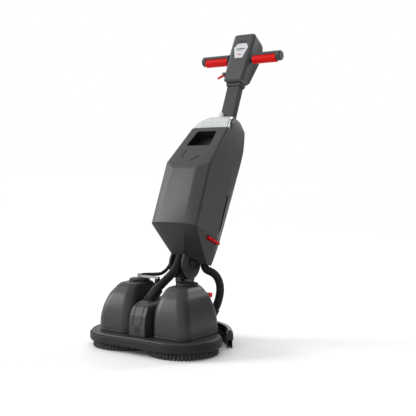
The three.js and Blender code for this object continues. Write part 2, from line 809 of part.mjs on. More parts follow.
function rearHousing() {
  const skin = hull(
    bothSides([
      [BODY_HALF_W, SEAM_Y, BODY_LOW],
      [72, 55, BODY_LOW],
      [BODY_HALF_W, SEAM_Y, 345],
      [76, 66, 345],
      [79, 68, 396],
      [71, -16, 447],
      [70, 72, 447],
      [66, -16, 480],
      [62, 74, 482],
      [56, 8, 503],
      [54, 50, 503],
    ]),
  );
  const frontOfSeam = profileX(
    [
      [SEAM_Y, 60],
      [SEAM_Y, 345],
      [-16, 447],
      [-16, 530],
      [-200, 530],
      [-200, 60],
    ],
    -120,
    120,
  );
  const { halfW, front, low, top } = MOTOR_BOX;
  const motorBox = block([-halfW, halfW], [front, 40], [low, top]);
  const neckRoom = block([-NECK_BOX.halfW - GAP, NECK_BOX.halfW + GAP], [-40, NECK_BOX.back + GAP], [
    NECK_BOX.low - GAP,
    BODY_SHOULDER + 2,
  ]);
  const lidRoom = block(
    [-LID_HALF_W - 0.5, LID_HALF_W + 0.5],
    [-40, LID_BACK + 1.5],
    [BODY_SHOULDER + 1, 530],
  );
  const batteryBay = block([-39, 39], [-20, 100], [122, 238]);
  const motorBay = rod(39, [0, 17, 252], [0, 17, 341], 40);
  const ventBack = [0, 1, 2, 3].map((i) =>
    block([-26, 26], [30, 100], [268 + i * 16, 276 + i * 16]),
  );
  const sideSlots = [-1, 1].map((s) =>
    block([s * 79 - 8, s * 79 + 8], [SEAM_Y - 4, 28], [116, 236]),
  );
  const socket = block(
    [-POST.halfW - GAP, POST.halfW + GAP],
    [POST.front - GAP, POST.back + GAP],
    [POST.low - GAP, 520],
  );
  return cut(
    skin.subtract(frontOfSeam).add(motorBox),
    neckRoom,
    lidRoom,
    batteryBay,
    motorBay,
    ...ventBack,
    ...sideSlots,
    socket,
  );
}

function suctionMotor() {
  return union(
    rod(38.5, [0, 17, 252.3], [0, 17, 300], 40),
    rod(30, [0, 17, 299], [0, 17, 338], 32),
  );
}

function floatCage() {
  const cage = rod(8.5, [0, -1, 372], [0, -1, 440], 20);
  const room = rod(6.8, [0, -1, 374], [0, -1, 432], 20);
  const windowX = block([-12, 12], [-4.5, 2.5], [378, 428]);
  const flange = block([-30, 30], [-9.5, 7.5], [438, 442]);
  const tube = rod(5, [0, -1, 428], [0, -1, 446], 20);
  return cut(union(cage, flange), room, windowX, tube);
}

function floatBall() {
  const geometry = new THREE.SphereGeometry(6.3, 12, 8);
  geometry.translate(0, -1, 380.6);
  return solid(geometry);
}

function batteryPack() {
  const cell = block([-38.6, 38.6], [-19.6, 70], [122.4, 237.6]);
  const grip = block([-24, 24], [56, 80], [196, 214]);
  const latchRoom = block([-15.3, 15.3], [60, 80], [219.4, 232]);
  return cut(cell, grip, latchRoom);
}

function batteryLatch() {
  return block([-15, 15], [64, 73.5], [219.8, 231.6]);
}

function post() {
  const { halfW, front, back, wall, low, top } = POST;
  const tube = block([-halfW, halfW], [front, back], [low, top]);
  const inside = block([-halfW + wall, halfW - wall], [front + wall, back - wall], [low - 1, top + 1]);
  return cut(tube, inside);
}

// ---- head ---------------------------------------------------------------------------------------

function podHull(inset) {
  const w = POD_HALF_W - inset;
  return hull(
    bothSides([
      [w - 3, 33 + inset, 832 - inset],
      [w - 12, 31 + inset, 834 - inset],
      [w, 37 + inset, 824 - inset],
      [w - 6, 90 - inset, 826 - inset],
      [w, 94 - inset, 812 - inset],
      [w - 3, 101 - inset, 800],
      [w - 4, 102 - inset, 760],
      [w, 32 + inset, 760],
      [w - 9, 27 + inset, 740],
      [w - 5, 26 + inset, 655 + inset],
      [w - 12, 20 + inset, 655 + inset],
      [w - 9, 76 - inset, 664 + inset],
      [w - 16, 66 - inset, 650 + inset],
      [w - 14, 25 + inset, 648 + inset],
    ]),
  );
}

const POD_SPLIT = 62;
const PANEL = { halfW: 30, front: 42, back: 84, low: 821, top: 832 };
const BUTTONS = [
  ["power", 0],
  ["suction", -18],
  ["water", 18],
];
const BUTTON_Y = 72;

function podShell(front) {
  const skin = podHull(0).subtract(podHull(3));
  const keep = front
    ? block([-90, 90], [0, POD_SPLIT - GAP / 2], [600, 900])
    : block([-90, 90], [POD_SPLIT + GAP / 2, 200], [600, 900]);
  const barHole = rod(BAR_R + GAP, [-80, BAR_Y, BAR_Z], [80, BAR_Y, BAR_Z], 32);
  const postHole = block(
    [-POST.halfW - GAP, POST.halfW + GAP],
    [POST.front - GAP, POST.back + GAP],
    [600, POST.top + 5],
  );
  const panelRoom = block(
    [-PANEL.halfW - GAP, PANEL.halfW + GAP],
    [PANEL.front - GAP, PANEL.back + GAP],
    [PANEL.low - GAP, 860],
  );
  return cut(skin.intersect(keep), barHole, postHole, panelRoom);
}

function podFront() {
  const slit = block([-18, 18], [20, 60], [806, 808.5]);
  const ears = [
    block([LEVER.x - 4, -37.5], [LEVER.y - 8, LEVER.y - 4.7], [676, 686]),
    block([LEVER.x - 4, -37.5], [LEVER.y + 4.7, LEVER.y + 8], [676, 686]),
  ];
  return cut(union(podShell(true), ...ears), slit, labelSolid(GAP));
}

// Six-sided plate let into the pod's front.
function labelSolid(grow) {
  const g = grow;
  const face = [
    [-15 - g, -29 - g],
    [15 + g, -29 - g],
    [28 + g, 13],
    [17 + g, 29 + g],
    [-17 - g, 29 + g],
    [-28 - g, 13],
  ];
  const plate = profileY(face, -0.5, 1.2 + g);
  const tilt = THREE.MathUtils.radToDeg(Math.atan2(11, 179));
  return plate.rotate([-tilt, 0, 0]).translate([0, 20 + ((768 - 655) * 11) / 179, 768]);
}

function controlPanel() {
  const { halfW, front, back, low, top } = PANEL;
  const plate = block([-halfW, halfW], [front, back], [low, top]);
  const pockets = BUTTONS.map(([, x]) =>
    block([x - 6.3, x + 6.3], [BUTTON_Y - 5.3, BUTTON_Y + 5.3], [top - 7, top + 1]),
  );
  return cut(plate, ...pockets);
}

function panelButton() {
  return block([-6, 6], [-5, 5], [PANEL.top - 3.5, PANEL.top + 2.5]);
}

function collar() {
  const sleeve = hull(
    bothSides([
      [29, 30, 647],
      [29, 64, 647],
      [27, 32.5, 636],
      [27, 62.5, 636],
    ]),
  );
  const hole = block(
    [-POST.halfW - GAP, POST.halfW + GAP],
    [POST.front - GAP, POST.back + GAP],
    [600, 700],
  );
  return cut(sleeve, hole);
}

function handlebar() {
  return rod(BAR_R, [-BAR_HALF_L, BAR_Y, BAR_Z], [BAR_HALF_L, BAR_Y, BAR_Z], 24);
}

const GRIP = { inner: 46, paddleIn: 50, paddleOut: 139, outer: 156, radius: 17, skirt: 0 };

function grip() {
  const { inner, paddleIn, paddleOut, outer, radius, skirt } = GRIP;
  const sleeve = rod(radius, [inner, BAR_Y, BAR_Z], [outer - 3, BAR_Y, BAR_Z], 24);
  const endCap = rod(radius - 2.5, [outer - 4, BAR_Y, BAR_Z], [outer, BAR_Y, BAR_Z], 24);
  const bore = rod(BAR_R + GAP, [0, BAR_Y, BAR_Z], [BAR_HALF_L + GAP, BAR_Y, BAR_Z], 24);
  const under = block(
    [paddleIn - GAP, paddleOut + GAP],
    [BAR_Y - 30, BAR_Y + 30],
    [BAR_Z - 30, BAR_Z + skirt],
  );
  const slot = block(
    [paddleIn - GAP, paddleOut + GAP],
    [BAR_Y - 14.4, BAR_Y + 14.4],
    [BAR_Z - 30, BAR_Z + 5],
  );
  return cut(union(sleeve, endCap), bore, under, slot);
}

// Squeeze paddle under each grip.
function trigger() {
  const { paddleIn, paddleOut } = GRIP;
  const shape = new THREE.Shape();
  shape.moveTo(14, 1);
  shape.lineTo(14, -8);
  shape.absarc(0, -8, 14, 0, -Math.PI, true);
  shape.lineTo(-14, 1);
  shape.closePath();
  const options = { depth: paddleOut - paddleIn, bevelEnabled: false, curveSegments: 10 };
  const geometry = new THREE.ExtrudeGeometry(shape, options);
  geometry.applyMatrix4(new THREE.Matrix4().makeBasis(AXIS_Y, AXIS_Z, AXIS_X));
  geometry.translate(paddleIn, BAR_Y, BAR_Z);
  const low = rod(BAR_R + 0.6, [0, BAR_Y, BAR_Z], [200, BAR_Y, BAR_Z], 24);
  const high = rod(BAR_R + 0.6, [0, BAR_Y, BAR_Z - 4], [200, BAR_Y, BAR_Z - 4], 24);
  const between = block([0, 200], [BAR_Y - 11.6, BAR_Y + 11.6], [BAR_Z - 4, BAR_Z + 4]);
  return cut(solid(geometry), low, high, between);
}

const LEVER = { x: -46, y: 32, z: 681 };

function lockLever() {
  const arm = hull([
    [LEVER.x, LEVER.y - 3.5, 684],
    [LEVER.x, LEVER.y - 3.5, 677],
    [LEVER.x, LEVER.y + 3.5, 684],
    [LEVER.x, LEVER.y + 3.5, 677],
    [-69, LEVER.y - 2.5, 671],
    [-69, LEVER.y - 2.5, 665],
    [-69, LEVER.y + 2.5, 671],
    [-69, LEVER.y + 2.5, 665],
  ]);
  const eye = rod(5, [LEVER.x, LEVER.y - 4.4, LEVER.z], [LEVER.x, LEVER.y + 4.4, LEVER.z]);
  return union(arm, eye);
}

// ---- hoses --------------------------------------------------------------------------------------

// Front suction hose: from the motor cover up into the front of the lower housing.
const FRONT_HOSE = [
  [0, 5, 166.7],
  [0, 24, 180],
  [0, 56, 196],
  [0, 88, 213],
  [0, 112, 236],
  [0, 124, 258.3],
  [0, 136, 286.6],
];

// Rear suction hose: out of the lower housing, round the right side, down to the squeegee.
const REAR_HOSE = [
  [41.5, 205.2, 237.6],
  [42, 200.5, 225],
  [50, 199.5, 215],
  [62, 200, 211],
  [75, 202.5, 204.5],
  [86, 205.5, 192],
  [92.5, 208, 175],
  [94, 209.5, 156],
  [91, 210.5, 136],
  [84, 211.6, 114],
  [76, 212.6, 98],
  [65, 213.9, 81.5],
];

// Thin solution hose: out of the lower housing, down to the rail over the left tank.
const SOLUTION_HOSE = [
  [-30.5, 145.4, 267.5],
  [-35, 132, 243],
  [-41, 117, 221],
  [-50, 100, 207.5],
  [-64, 86, 205],
  [-80, 72, 205],
  [-89, 61, 205],
  [-90, 49.4, 205],
];

// ---- the machine --------------------------------------------------------------------------------

const machine = new THREE.Group();
machine.position.set(0, -ORIGIN_Y, 0);

piece(machine, "deck_housing", deckHousing(), GRAPHITE);
piece(machine, "bumper", bumper(), CHARCOAL);
piece(machine, "motor_cover", motorCover(), GRAPHITE);
piece(machine, "hose_cuff", hoseCuff(), BLACK);
piece(machine, "pedestal", pedestal(), CHARCOAL);
piece(machine, "steer_pin", steerPin(), STEEL);
piece(machine, "brush_motor", brushMotor(), STEEL);
piece(machine, "solution_valve", solutionValve(), BLACK);
piece(machine, "solution_rail", solutionRail(), LIGHT_GREY);
piece(machine, "wheel_axle", wheelAxle(), STEEL);
piece(machine, "drive_pinion", shaftGear(Math.PI / IDLER_TEETH), STEEL, [-IDLER_PITCH_R, 0, 0]);
piece(machine, "idler_gear", shaftGear(0), STEEL, [IDLER_PITCH_R, 0, 0]);

for (const [name, side] of SIDES) {
  const phase = side > 0 ? Math.PI / BRUSH_TEETH : 0;
  const axis = [side * BRUSH_X, 0, 0];
  piece(machine, `brush_gear_${name}`, brushGear(phase), BLACK, axis);
  piece(machine, `brush_block_${name}`, brushBlock(), BLACK, axis);
  piece(machine, `bristles_${name}`, bristles(), BRISTLE, axis);
  piece(machine, `clean_tank_${name}`, mirrored(cleanTank(), side), GRAPHITE);
  const capPlace = [side * CAP.x, CAP.y, 0];
  piece(machine, `tank_cap_${name}`, mirrored(tankCap(), side), BLACK, capPlace);
  piece(machine, `tank_release_${name}`, mirrored(tankRelease(), side), RED);
  const wheelX = (side * (WHEEL_IN + WHEEL_OUT)) / 2;
  piece(machine, `transport_wheel_${name}`, wheel(), RUBBER, [wheelX, AXLE_Y, AXLE_Z]);
}

piece(machine, "squeegee_body", squeegeeBody(), GLOSS_BLACK);
piece(machine, "squeegee_blade_front", squeegeeBlade(SQUEEGEE_R - 6), RUBBER);
piece(machine, "squeegee_blade_rear", squeegeeBlade(SQUEEGEE_R + 6), RUBBER);
piece(machine, "suction_elbow", suctionElbow(), BLACK);
piece(machine, "yoke", yoke(), CHARCOAL);
piece(machine, "hose_front", hose(FRONT_HOSE, HOSE_R, 10, 24), BLACK);
piece(machine, "hose_rear", hose(REAR_HOSE, HOSE_R, 10, 34), BLACK);
piece(machine, "solution_hose", hose(SOLUTION_HOSE, SOLUTION_HOSE_R, 8, 26), BLACK);

// Everything above the neck leans back about the tilt axis.
const upper = new THREE.Group();
upper.position.set(0, NECK_Y, NECK_Z);
upper.rotation.set(-LEAN, 0, 0);
machine.add(upper);

piece(upper, "tilt_pin", tiltPin(), STEEL);
piece(upper, "lower_housing", lowerHousing(), CHARCOAL);
piece(upper, "tank_clip", tankClip(), RED);
piece(upper, "waste_tank", wasteTank(), GRAPHITE);
piece(upper, "waste_lid", wasteLid(), CLEAR);
piece(upper, "float_cage", floatCage(), LIGHT_GREY);
piece(upper, "float_ball", floatBall(), RED);
piece(upper, "rear_housing", rearHousing(), GRAPHITE);
piece(upper, "suction_motor", suctionMotor(), STEEL);
piece(upper, "battery_pack", batteryPack(), BLACK);
piece(upper, "battery_latch", batteryLatch(), RED);
piece(upper, "post", post(), CHARCOAL);
piece(upper, "collar", collar(), CHARCOAL);
piece(upper, "pod_front", podFront(), GRAPHITE);
piece(upper, "pod_rear", podShell(false), CHARCOAL);
piece(upper, "label_plate", labelSolid(0), SILVER);
piece(upper, "control_panel", controlPanel(), BLACK);
piece(upper, "handlebar", handlebar(), STEEL);
piece(upper, "lock_lever", lockLever(), RED);

for (const [name, x] of BUTTONS) {
  piece(upper, `button_${name}`, panelButton(), LIGHT_GREY, [x, BUTTON_Y, 0]);
}
for (const [name, side] of SIDES) {
  piece(upper, `grip_${name}`, mirrored(grip(), side), GRAPHITE);
  piece(upper, `trigger_${name}`, mirrored(trigger(), side), RED);
}

export default machine;
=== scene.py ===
import json
import math

import bmesh
import bpy
from mathutils import Matrix, Vector


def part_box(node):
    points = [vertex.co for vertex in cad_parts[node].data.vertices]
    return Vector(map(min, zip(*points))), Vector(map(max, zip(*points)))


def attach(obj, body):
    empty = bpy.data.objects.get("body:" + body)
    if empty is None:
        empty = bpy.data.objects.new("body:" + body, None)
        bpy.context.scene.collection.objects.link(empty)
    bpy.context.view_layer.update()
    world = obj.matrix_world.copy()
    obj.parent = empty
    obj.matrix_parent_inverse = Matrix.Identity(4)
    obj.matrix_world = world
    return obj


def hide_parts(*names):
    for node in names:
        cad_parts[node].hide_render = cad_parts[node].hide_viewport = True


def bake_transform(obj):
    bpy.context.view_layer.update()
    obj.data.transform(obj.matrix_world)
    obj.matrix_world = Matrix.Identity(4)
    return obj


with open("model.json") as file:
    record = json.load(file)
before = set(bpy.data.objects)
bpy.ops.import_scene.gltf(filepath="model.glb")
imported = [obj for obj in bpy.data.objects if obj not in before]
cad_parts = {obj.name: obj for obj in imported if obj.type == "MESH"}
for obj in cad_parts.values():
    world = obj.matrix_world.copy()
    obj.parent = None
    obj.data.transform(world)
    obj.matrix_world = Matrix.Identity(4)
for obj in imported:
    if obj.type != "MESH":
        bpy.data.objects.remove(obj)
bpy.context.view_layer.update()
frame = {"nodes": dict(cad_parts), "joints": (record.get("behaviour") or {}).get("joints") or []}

bl_info = {
    "name": "Upright floor scrubber",
    "version": (1, 0, 0),
    "blender": (4, 5, 0),
    "location": "3D View > Sidebar > Scrubber",
    "description": "Finished shells, hoses, brushes and materials for an upright twin-brush floor scrubber",
    "category": "Object",
}

MM = 0.001
SIDES = (("left", -1), ("right", 1))


def joint_place(name):
    """Where a joint of the frame stands, in metres."""
    return Vector(next(j["pos_m"] for j in frame["joints"] if j["name"] == name))


LEAN = math.radians(23)
TILT_AXIS = joint_place("body_tilt")
BRUSH_LINE = joint_place("brush_left_spin").y
BRUSH_SPREAD = joint_place("brush_right_spin").x
# Sizes of the leaning body are taken from its tilt axis, square to the lean.
BODY = Matrix.Translation(TILT_AXIS) @ Matrix.Rotation(-LEAN, 4, "X")


def deck_point(x, y, z):
    """A point measured in millimetres from the floor under the brush line."""
    return Vector((x * MM, y * MM + BRUSH_LINE, z * MM))


# ---- settings -----------------------------------------------------------------------------------


def colour(name, description, default):
    return bpy.props.FloatVectorProperty(
        name=name, description=description, default=default, subtype="COLOR", size=3, min=0, max=1
    )


def length(name, description, default):
    return bpy.props.FloatProperty(
        name=name, description=description, default=default, unit="LENGTH", min=0, precision=5
    )


def number(name, description, default):
    return bpy.props.FloatProperty(name=name, description=description, default=default)


class ScrubberColours(bpy.types.PropertyGroup):
    graphite: colour("Graphite", "Moulded shells of the body, the tanks and the head", (0.030, 0.0305, 0.031))
    charcoal: colour("Charcoal", "Darker mouldings: lower housing, post and collar", (0.016, 0.016, 0.017))
    # Black at half its value is also the painted shade inside the pocket, the side slots and the vents.
    black: colour("Black", "Caps, elbow, gears and the inside of the pocket", (0.005, 0.005, 0.0055))
    red: colour("Red", "Paddles, levers, clips and release buttons", (0.52, 0.0015, 0.002))
    pale: colour("Pale grey", "Solution rail, float cage and panel buttons", (0.36, 0.38, 0.39))
    clear: colour("Clear", "Smoky clear lid over the waste tank", (0.66, 0.68, 0.69))
    silver: colour("Silver", "Blank label plate", (0.52, 0.53, 0.55))
    steel: colour("Steel", "Pins, axles, motor cans and the handlebar", (0.42, 0.43, 0.45))
    rubber: colour("Rubber", "Bumper, tyres, hoses and blades", (0.006, 0.006, 0.0065))
    bristle: colour("Bristle", "Brush tufts", (0.052, 0.053, 0.055))


class ScrubberShape(bpy.types.PropertyGroup):
    shell_round: length("Shell round", "Radius along the outer corners of the leaning body", 7 * MM)
    head_round: length("Head round", "Radius along the corners of the head", 3.6 * MM)
    fine_round: length("Fine round", "Radius on small edges", 0.7 * MM)
    rib_pitch: length("Rib pitch", "Distance from rib to rib on a suction hose", 4.4 * MM)
    rib_depth: length("Rib depth", "Depth of the grooves between hose ribs", 1.3 * MM)
    filament: length("Filament", "Thickness of one bristle", 1.7 * MM)
    groove: length("Groove", "Radius of the lines sunk into the mouldings", 1.7 * MM)


class ScrubberStage(bpy.types.PropertyGroup):
    lens: number("Lens", "Focal length of the camera in millimetres", 66.63)
    floor: colour("Floor", "Studio floor", (0.95, 0.95, 0.95))
    sky: number("Surrounding light", "Strength of the even white light all round", 1.0)
    shade: number("Dark side", "How much of it the dark side of the room keeps", 0.1)
    key: number("Key light", "Strength of the broad soft light from the front left", 1.9)
    rim: number("Rim light", "Power of the narrow light behind, in watts", 26.0)


def colours():
    return bpy.context.scene.scrubber_colours


def shape():
    return bpy.context.scene.scrubber_shape


# ---- materials ----------------------------------------------------------------------------------


class Value:
    """A shader socket that takes part in Python arithmetic."""

    def __init__(self, surface, socket):
        self.surface = surface
        self.socket = socket

    def math(self, operation, *others):
        return self.surface.node("ShaderNodeMath", {"operation": operation}, self, *others)

    def __add__(self, other):
        return self.math("ADD", other)

    def __radd__(self, other):
        return self.math("ADD", other)

    def __mul__(self, other):
        return self.math("MULTIPLY", other)

    def __rmul__(self, other):
        return self.math("MULTIPLY", other)

    def __sub__(self, other):
        return self.math("SUBTRACT", other)

    def __rsub__(self, other):
        return self.surface.node("ShaderNodeMath", {"operation": "SUBTRACT"}, other, self)

    def within(self, low, high, below=0.0, above=1.0):
        """One value below low and another above high, with a soft step between."""
        settings = {"interpolation_type": "SMOOTHSTEP"}
        return self.surface.node("ShaderNodeMapRange", settings, self, low, high, below, above)


def shown(sockets):
    """The sockets that a node has with its present settings."""
    return [socket for socket in sockets if socket.enabled]


class Surface:
    """The nodes of one material, or of the world."""

    def __init__(self, owner):
        self.owner = owner
        owner.use_nodes = True
        self.tree = owner.node_tree
        self.tree.nodes.clear()

    def node(self, kind, settings, *values, out=None, **named):
        """Adds a node: first its settings, then what goes into the sockets that it shows with them.
        Socket names use _ for a space."""
        made = self.tree.nodes.new(kind)
        for key, value in settings.items():
            setattr(made, key, value)
        for socket, value in zip(shown(made.inputs), values):
            self.plug(socket, value)
        for key, value in named.items():
            self.plug(made.inputs[key.replace("_", " ")], value)
        if out:
            return Value(self, made.outputs[out])
        return next((Value(self, socket) for socket in shown(made.outputs)), None)

    def plug(self, socket, value):
        if isinstance(value, Value):
            self.tree.links.new(value.socket, socket)
        elif socket.type == "RGBA" and len(value) == 3:
            socket.default_value = (*value, 1)
        else:
            socket.default_value = value

    def place(self):
        return self.node("ShaderNodeTexCoord", {}, out="Object")

    def noise(self, scale, detail=2.0, at=None):
        return self.node(
            "ShaderNodeTexNoise", {}, Vector=at or self.place(), Scale=scale, Detail=detail, out="Fac"
        )

    def mix_colour(self, share, first, second):
        """A colour between two colours."""
        return self.node("ShaderNodeMix", {"data_type": "RGBA"}, share, first, second)

    def edges(self, radius):
        """1 along edges sharper than the radius, 0 on flats."""
        flat = self.node("ShaderNodeNewGeometry", {}, out="Normal")
        soft = self.node("ShaderNodeBevel", {"samples": 4}, radius, out="Normal")
        same = self.node("ShaderNodeVectorMath", {"operation": "DOT_PRODUCT"}, flat, soft, out="Value")
        return (1 - same).within(0.01, 0.22)

    def bump(self, height, distance, strength=1.0):
        return self.node(
            "ShaderNodeBump", {}, Height=height, Distance=distance, Strength=strength, out="Normal"
        )

    def finish(self, **sockets):
        """The surface itself, as a material."""
        shader = self.node("ShaderNodeBsdfPrincipled", {}, **sockets, out="BSDF")
        self.node("ShaderNodeOutputMaterial", {}, Surface=shader)
        return self.owner


def surface(name):
    return Surface(bpy.data.materials.new(name))


def tint(base, factor):
    return tuple(min(1.0, channel * factor) for channel in base)


def moulded(name, base, roughness=0.5, grain=0.00007, wear=0.35, coat=0.0, gloss=0.42):
    """Injection-moulded plastic: fine spark-eroded grain, faint cloudiness, paler rubbed edges."""
    s = surface(name)
    cloud = s.noise(14.0)
    cells = s.noise(1500.0, 1.0)
    rub = s.edges(1.6 * MM) * s.noise(55.0, 3.0).within(0.35, 0.75) * wear
    shade = s.mix_colour(cloud, tint(base, 0.84), tint(base, 1.18))
    worn = s.mix_colour(rub, shade, tint(base, 2.6))
    rough = roughness + (cloud - 0.5) * 0.12 + (cells - 0.5) * 0.1 - rub * 0.25
    return s.finish(
        Base_Color=worn,
        Roughness=rough,
        Coat_Weight=coat,
        Coat_Roughness=0.2,
        Specular_IOR_Level=gloss,
        Normal=s.bump(cells, grain),
    )


def ribbed_rubber(name, base, roughness=0.55):
    """Flexible rubber: matt, faintly dusty where it is rubbed."""
    s = surface(name)
    dust = s.noise(38.0, 4.0).within(0.48, 0.8)
    cells = s.noise(900.0, 2.0)
    shade = s.mix_colour(dust * 0.4, base, tint(base, 2.6))
    return s.finish(
        Base_Color=shade,
        Roughness=roughness + dust * 0.15,
        Specular_IOR_Level=0.3,
        Normal=s.bump(cells, 0.00006),
    )


def metal(name, base, roughness=0.3, stretch=(1, 1, 30)):
    """Machined metal with fine lines along one direction."""
    s = surface(name)
    scaled = s.node("ShaderNodeVectorMath", {"operation": "MULTIPLY"}, s.place(), stretch)
    lines = s.noise(260.0, 2.0, scaled)
    shade = s.mix_colour(lines, tint(base, 0.82), tint(base, 1.12))
    return s.finish(
        Base_Color=shade,
        Metallic=1.0,
        Roughness=roughness + (lines - 0.5) * 0.2,
        Normal=s.bump(lines, 0.00003),
    )


def clear_plastic(name, base):
    """Smoky clear plastic: mostly see-through skin with a soft milky body."""
    s = surface(name)
    haze = s.noise(30.0, 3.0)
    scuffs = s.noise(700.0, 2.0)
    rim = s.edges(2.2 * MM)
    shade = s.mix_colour(haze, tint(base, 0.9), tint(base, 1.1))
    return s.finish(
        Base_Color=shade,
        Roughness=0.16 + haze * 0.12,
        Alpha=0.56 + haze * 0.08 + rim * 0.25,
        Coat_Weight=0.5,
        Coat_Roughness=0.08,
        Normal=s.bump(scuffs, 0.00003),
    )


def bristle_plastic(name, base):
    """Nylon filaments, lighter towards the tips."""
    s = surface(name)
    height = s.node("ShaderNodeSeparateXYZ", {}, s.place(), out="Z")
    tip = 1 - height.within(0.0, 12 * MM)
    fleck = s.noise(400.0, 2.0)
    shade = s.mix_colour(tip * 0.5 + fleck * 0.3, base, tint(base, 2.4))
    return s.finish(Base_Color=shade, Roughness=0.5 + fleck * 0.2)


LOOKS = {}


def look(name):
    """A finish of the machine, made when it is first asked for."""
    if name not in LOOKS:
        c = colours()
        recipes = {
            "graphite_plastic": lambda: moulded(name, tuple(c.graphite), 0.50),
            "charcoal_plastic": lambda: moulded(name, tuple(c.charcoal), 0.48, gloss=0.34),
            "black_plastic": lambda: moulded(name, tuple(c.black), 0.42, wear=0.2, gloss=0.3),
            "gloss_black": lambda: moulded(name, tuple(c.black), 0.26, 0.00002, 0.15, 0.2, gloss=0.3),
            "red_plastic": lambda: moulded(name, tuple(c.red), 0.4, 0.00003, 0.0, gloss=0.12),
            "grey_plastic": lambda: moulded(name, tuple(c.pale), 0.5, wear=0.15),
            "clear_plastic": lambda: clear_plastic(name, tuple(c.clear)),
            "label_foil": lambda: metal(name, tuple(c.silver), 0.34, (30, 1, 1)),
            "steel": lambda: metal(name, tuple(c.steel), 0.28),
            "cast_alloy": lambda: moulded(name, tuple(c.black), 0.40, 0.00014, 0.5),
            "bristle": lambda: bristle_plastic(name, tuple(c.bristle)),
            "rubber": lambda: ribbed_rubber(name, tuple(c.rubber)),
            "tank_plastic": lambda: moulded(name, tint(tuple(c.graphite), 0.72), 0.44),
            # Painted shade: near black laid inside the pocket, the side slots and the vents, where shade
            # falls.
            "painted_recess_shade": lambda: moulded(name, tint(tuple(c.black), 0.5), 0.6, wear=0.0),
        }
        LOOKS[name] = recipes[name]()
    return LOOKS[name]


def paint(piece, *names):
    piece.data.materials.clear()
    for name in names:
        piece.data.materials.append(look(name))


# ---- mesh work ----------------------------------------------------------------------------------


def object_of(name, bm):
    """A new object from a bmesh, with its faces turned outwards."""
    bmesh.ops.recalc_face_normals(bm, faces=bm.faces)
    for face in bm.faces:
        face.smooth = True
    mesh = bpy.data.meshes.new(name)
    bm.to_mesh(mesh)
    bm.free()
    made = bpy.data.objects.new(name, mesh)
    bpy.context.scene.collection.objects.link(made)
    return made


def skin(name, rings, closed=False):
    """A closed mesh through rings that have the same number of points."""
    bm = bmesh.new()
    rows = [[bm.verts.new(point) for point in ring] for ring in rings]
    for low, high in zip(rows, rows[1:] + ([rows[0]] if closed else [])):
        for i in range(len(low)):
            j = (i + 1) % len(low)
            bm.faces.new((low[i], low[j], high[j], high[i]))
    if not closed:
        bm.faces.new(rows[0])
        bm.faces.new(rows[-1])
    return object_of(name, bm)


def turned(name, profile, matrix, sides=40, teeth=0, depth=0.0):
    """A turned piece from (radius, height) points in millimetres, its axis along Z of the matrix.
    Points marked with a third value True carry teeth round the rim."""
    rings = []
    for radius, height, *marked in profile:
        ring = []
        for i in range(sides):
            angle = 2 * math.pi * i / sides
            notch = depth if marked and marked[0] and teeth and (i * teeth * 2 // sides) % 2 else 0.0
            r = (radius - notch) * MM
            ring.append(matrix @ Vector((r * math.cos(angle), r * math.sin(angle), height * MM)))
        rings.append(ring)
    return skin(name, rings)


def bar_mesh(name, size, matrix):
    """A plain bar between opposite corners, used as a cutter or a small trim piece."""
    (x0, x1), (y0, y1), (z0, z1) = size
    bottom = [(x0, y0), (x1, y0), (x1, y1), (x0, y1)]
    rings = [[matrix @ Vector((x * MM, y * MM, z * MM)) for x, y in bottom] for z in (z0, z1)]
    return skin(name, rings)


def rounded(corners, radius, steps=5):
    """An outline with each corner turned on a radius."""
    points = []
    count = len(corners)
    for i, corner in enumerate(corners):
        here = Vector(corner)
        back = (Vector(corners[i - 1]) - here).normalized()
        ahead = (Vector(corners[(i + 1) % count]) - here).normalized()
        half = back.angle(ahead) / 2
        reach = radius / math.tan(half)
        centre = here + (back + ahead).normalized() * (radius / math.sin(half))
        start = here + back * reach - centre
        end = here + ahead * reach - centre
        turn = start.angle_signed(end)
        for step in range(steps + 1):
            angle = -turn * step / steps
            cos, sin = math.cos(angle), math.sin(angle)
            arm = Vector((start.x * cos - start.y * sin, start.x * sin + start.y * cos))
            points.append(centre + arm)
    return points


def prism(name, outline, low, high, matrix):
    """An outline in millimetres carried along Z of the matrix."""
    rings = [[matrix @ Vector((u * MM, v * MM, h * MM)) for u, v in outline] for h in (low, high)]
    return skin(name, rings)


def smooth_line(points, step):
    """Evenly spaced points on a smooth line through the given ones."""
    dense = []
    count = len(points)
    for i in range(count - 1):
        before = points[i - 1] if i else points[0] * 2 - points[1]
        a, b = points[i], points[i + 1]
        after = points[i + 2] if i + 2 < count else points[-1] * 2 - points[-2]
        for k in range(40):
            t = k / 40
            bend = (2 * before - 5 * a + 4 * b - after) * t * t + (3 * (a - b) + after - before) * t**3
            dense.append((2 * a + (b - before) * t + bend) / 2)
    dense.append(points[-1].copy())
    lengths = [0.0]
    for a, b in zip(dense, dense[1:]):
        lengths.append(lengths[-1] + (b - a).length)
    pieces = max(2, round(lengths[-1] / step))
    line, k = [], 0
    for i in range(pieces + 1):
        want = lengths[-1] * i / pieces
        while k < len(lengths) - 2 and lengths[k + 1] < want:
            k += 1
        share = (want - lengths[k]) / max(1e-12, lengths[k + 1] - lengths[k])
        line.append(dense[k].lerp(dense[k + 1], min(1.0, share)))
    return line


def line_length(line):
    return sum((b - a).length for a, b in zip(line, line[1:]))


def tube(name, line, radius_at, sides=20, first=0):
    """A round tube along a line; radius_at gives the radius at the point with that count."""
    rings = []
    side = Vector((1, 0, 0))
    for i, point in enumerate(line):
        ahead = line[min(i + 1, len(line) - 1)] - line[max(i - 1, 0)]
        ahead.normalize()
        side = (side - ahead * side.dot(ahead)).normalized()
        across = ahead.cross(side)
        radius = radius_at(i + first)
        ring = []
        for k in range(sides):
            angle = 2 * math.pi * k / sides
            ring.append(point + (side * math.cos(angle) + across * math.sin(angle)) * radius)
        rings.append(ring)
    return skin(name, rings)


def applied(piece):
    """Works the piece's modifiers into its mesh."""
    graph = bpy.context.evaluated_depsgraph_get()
    graph.update()
    mesh = bpy.data.meshes.new_from_object(piece.evaluated_get(graph))
    piece.modifiers.clear()
    piece.data = mesh
    return piece


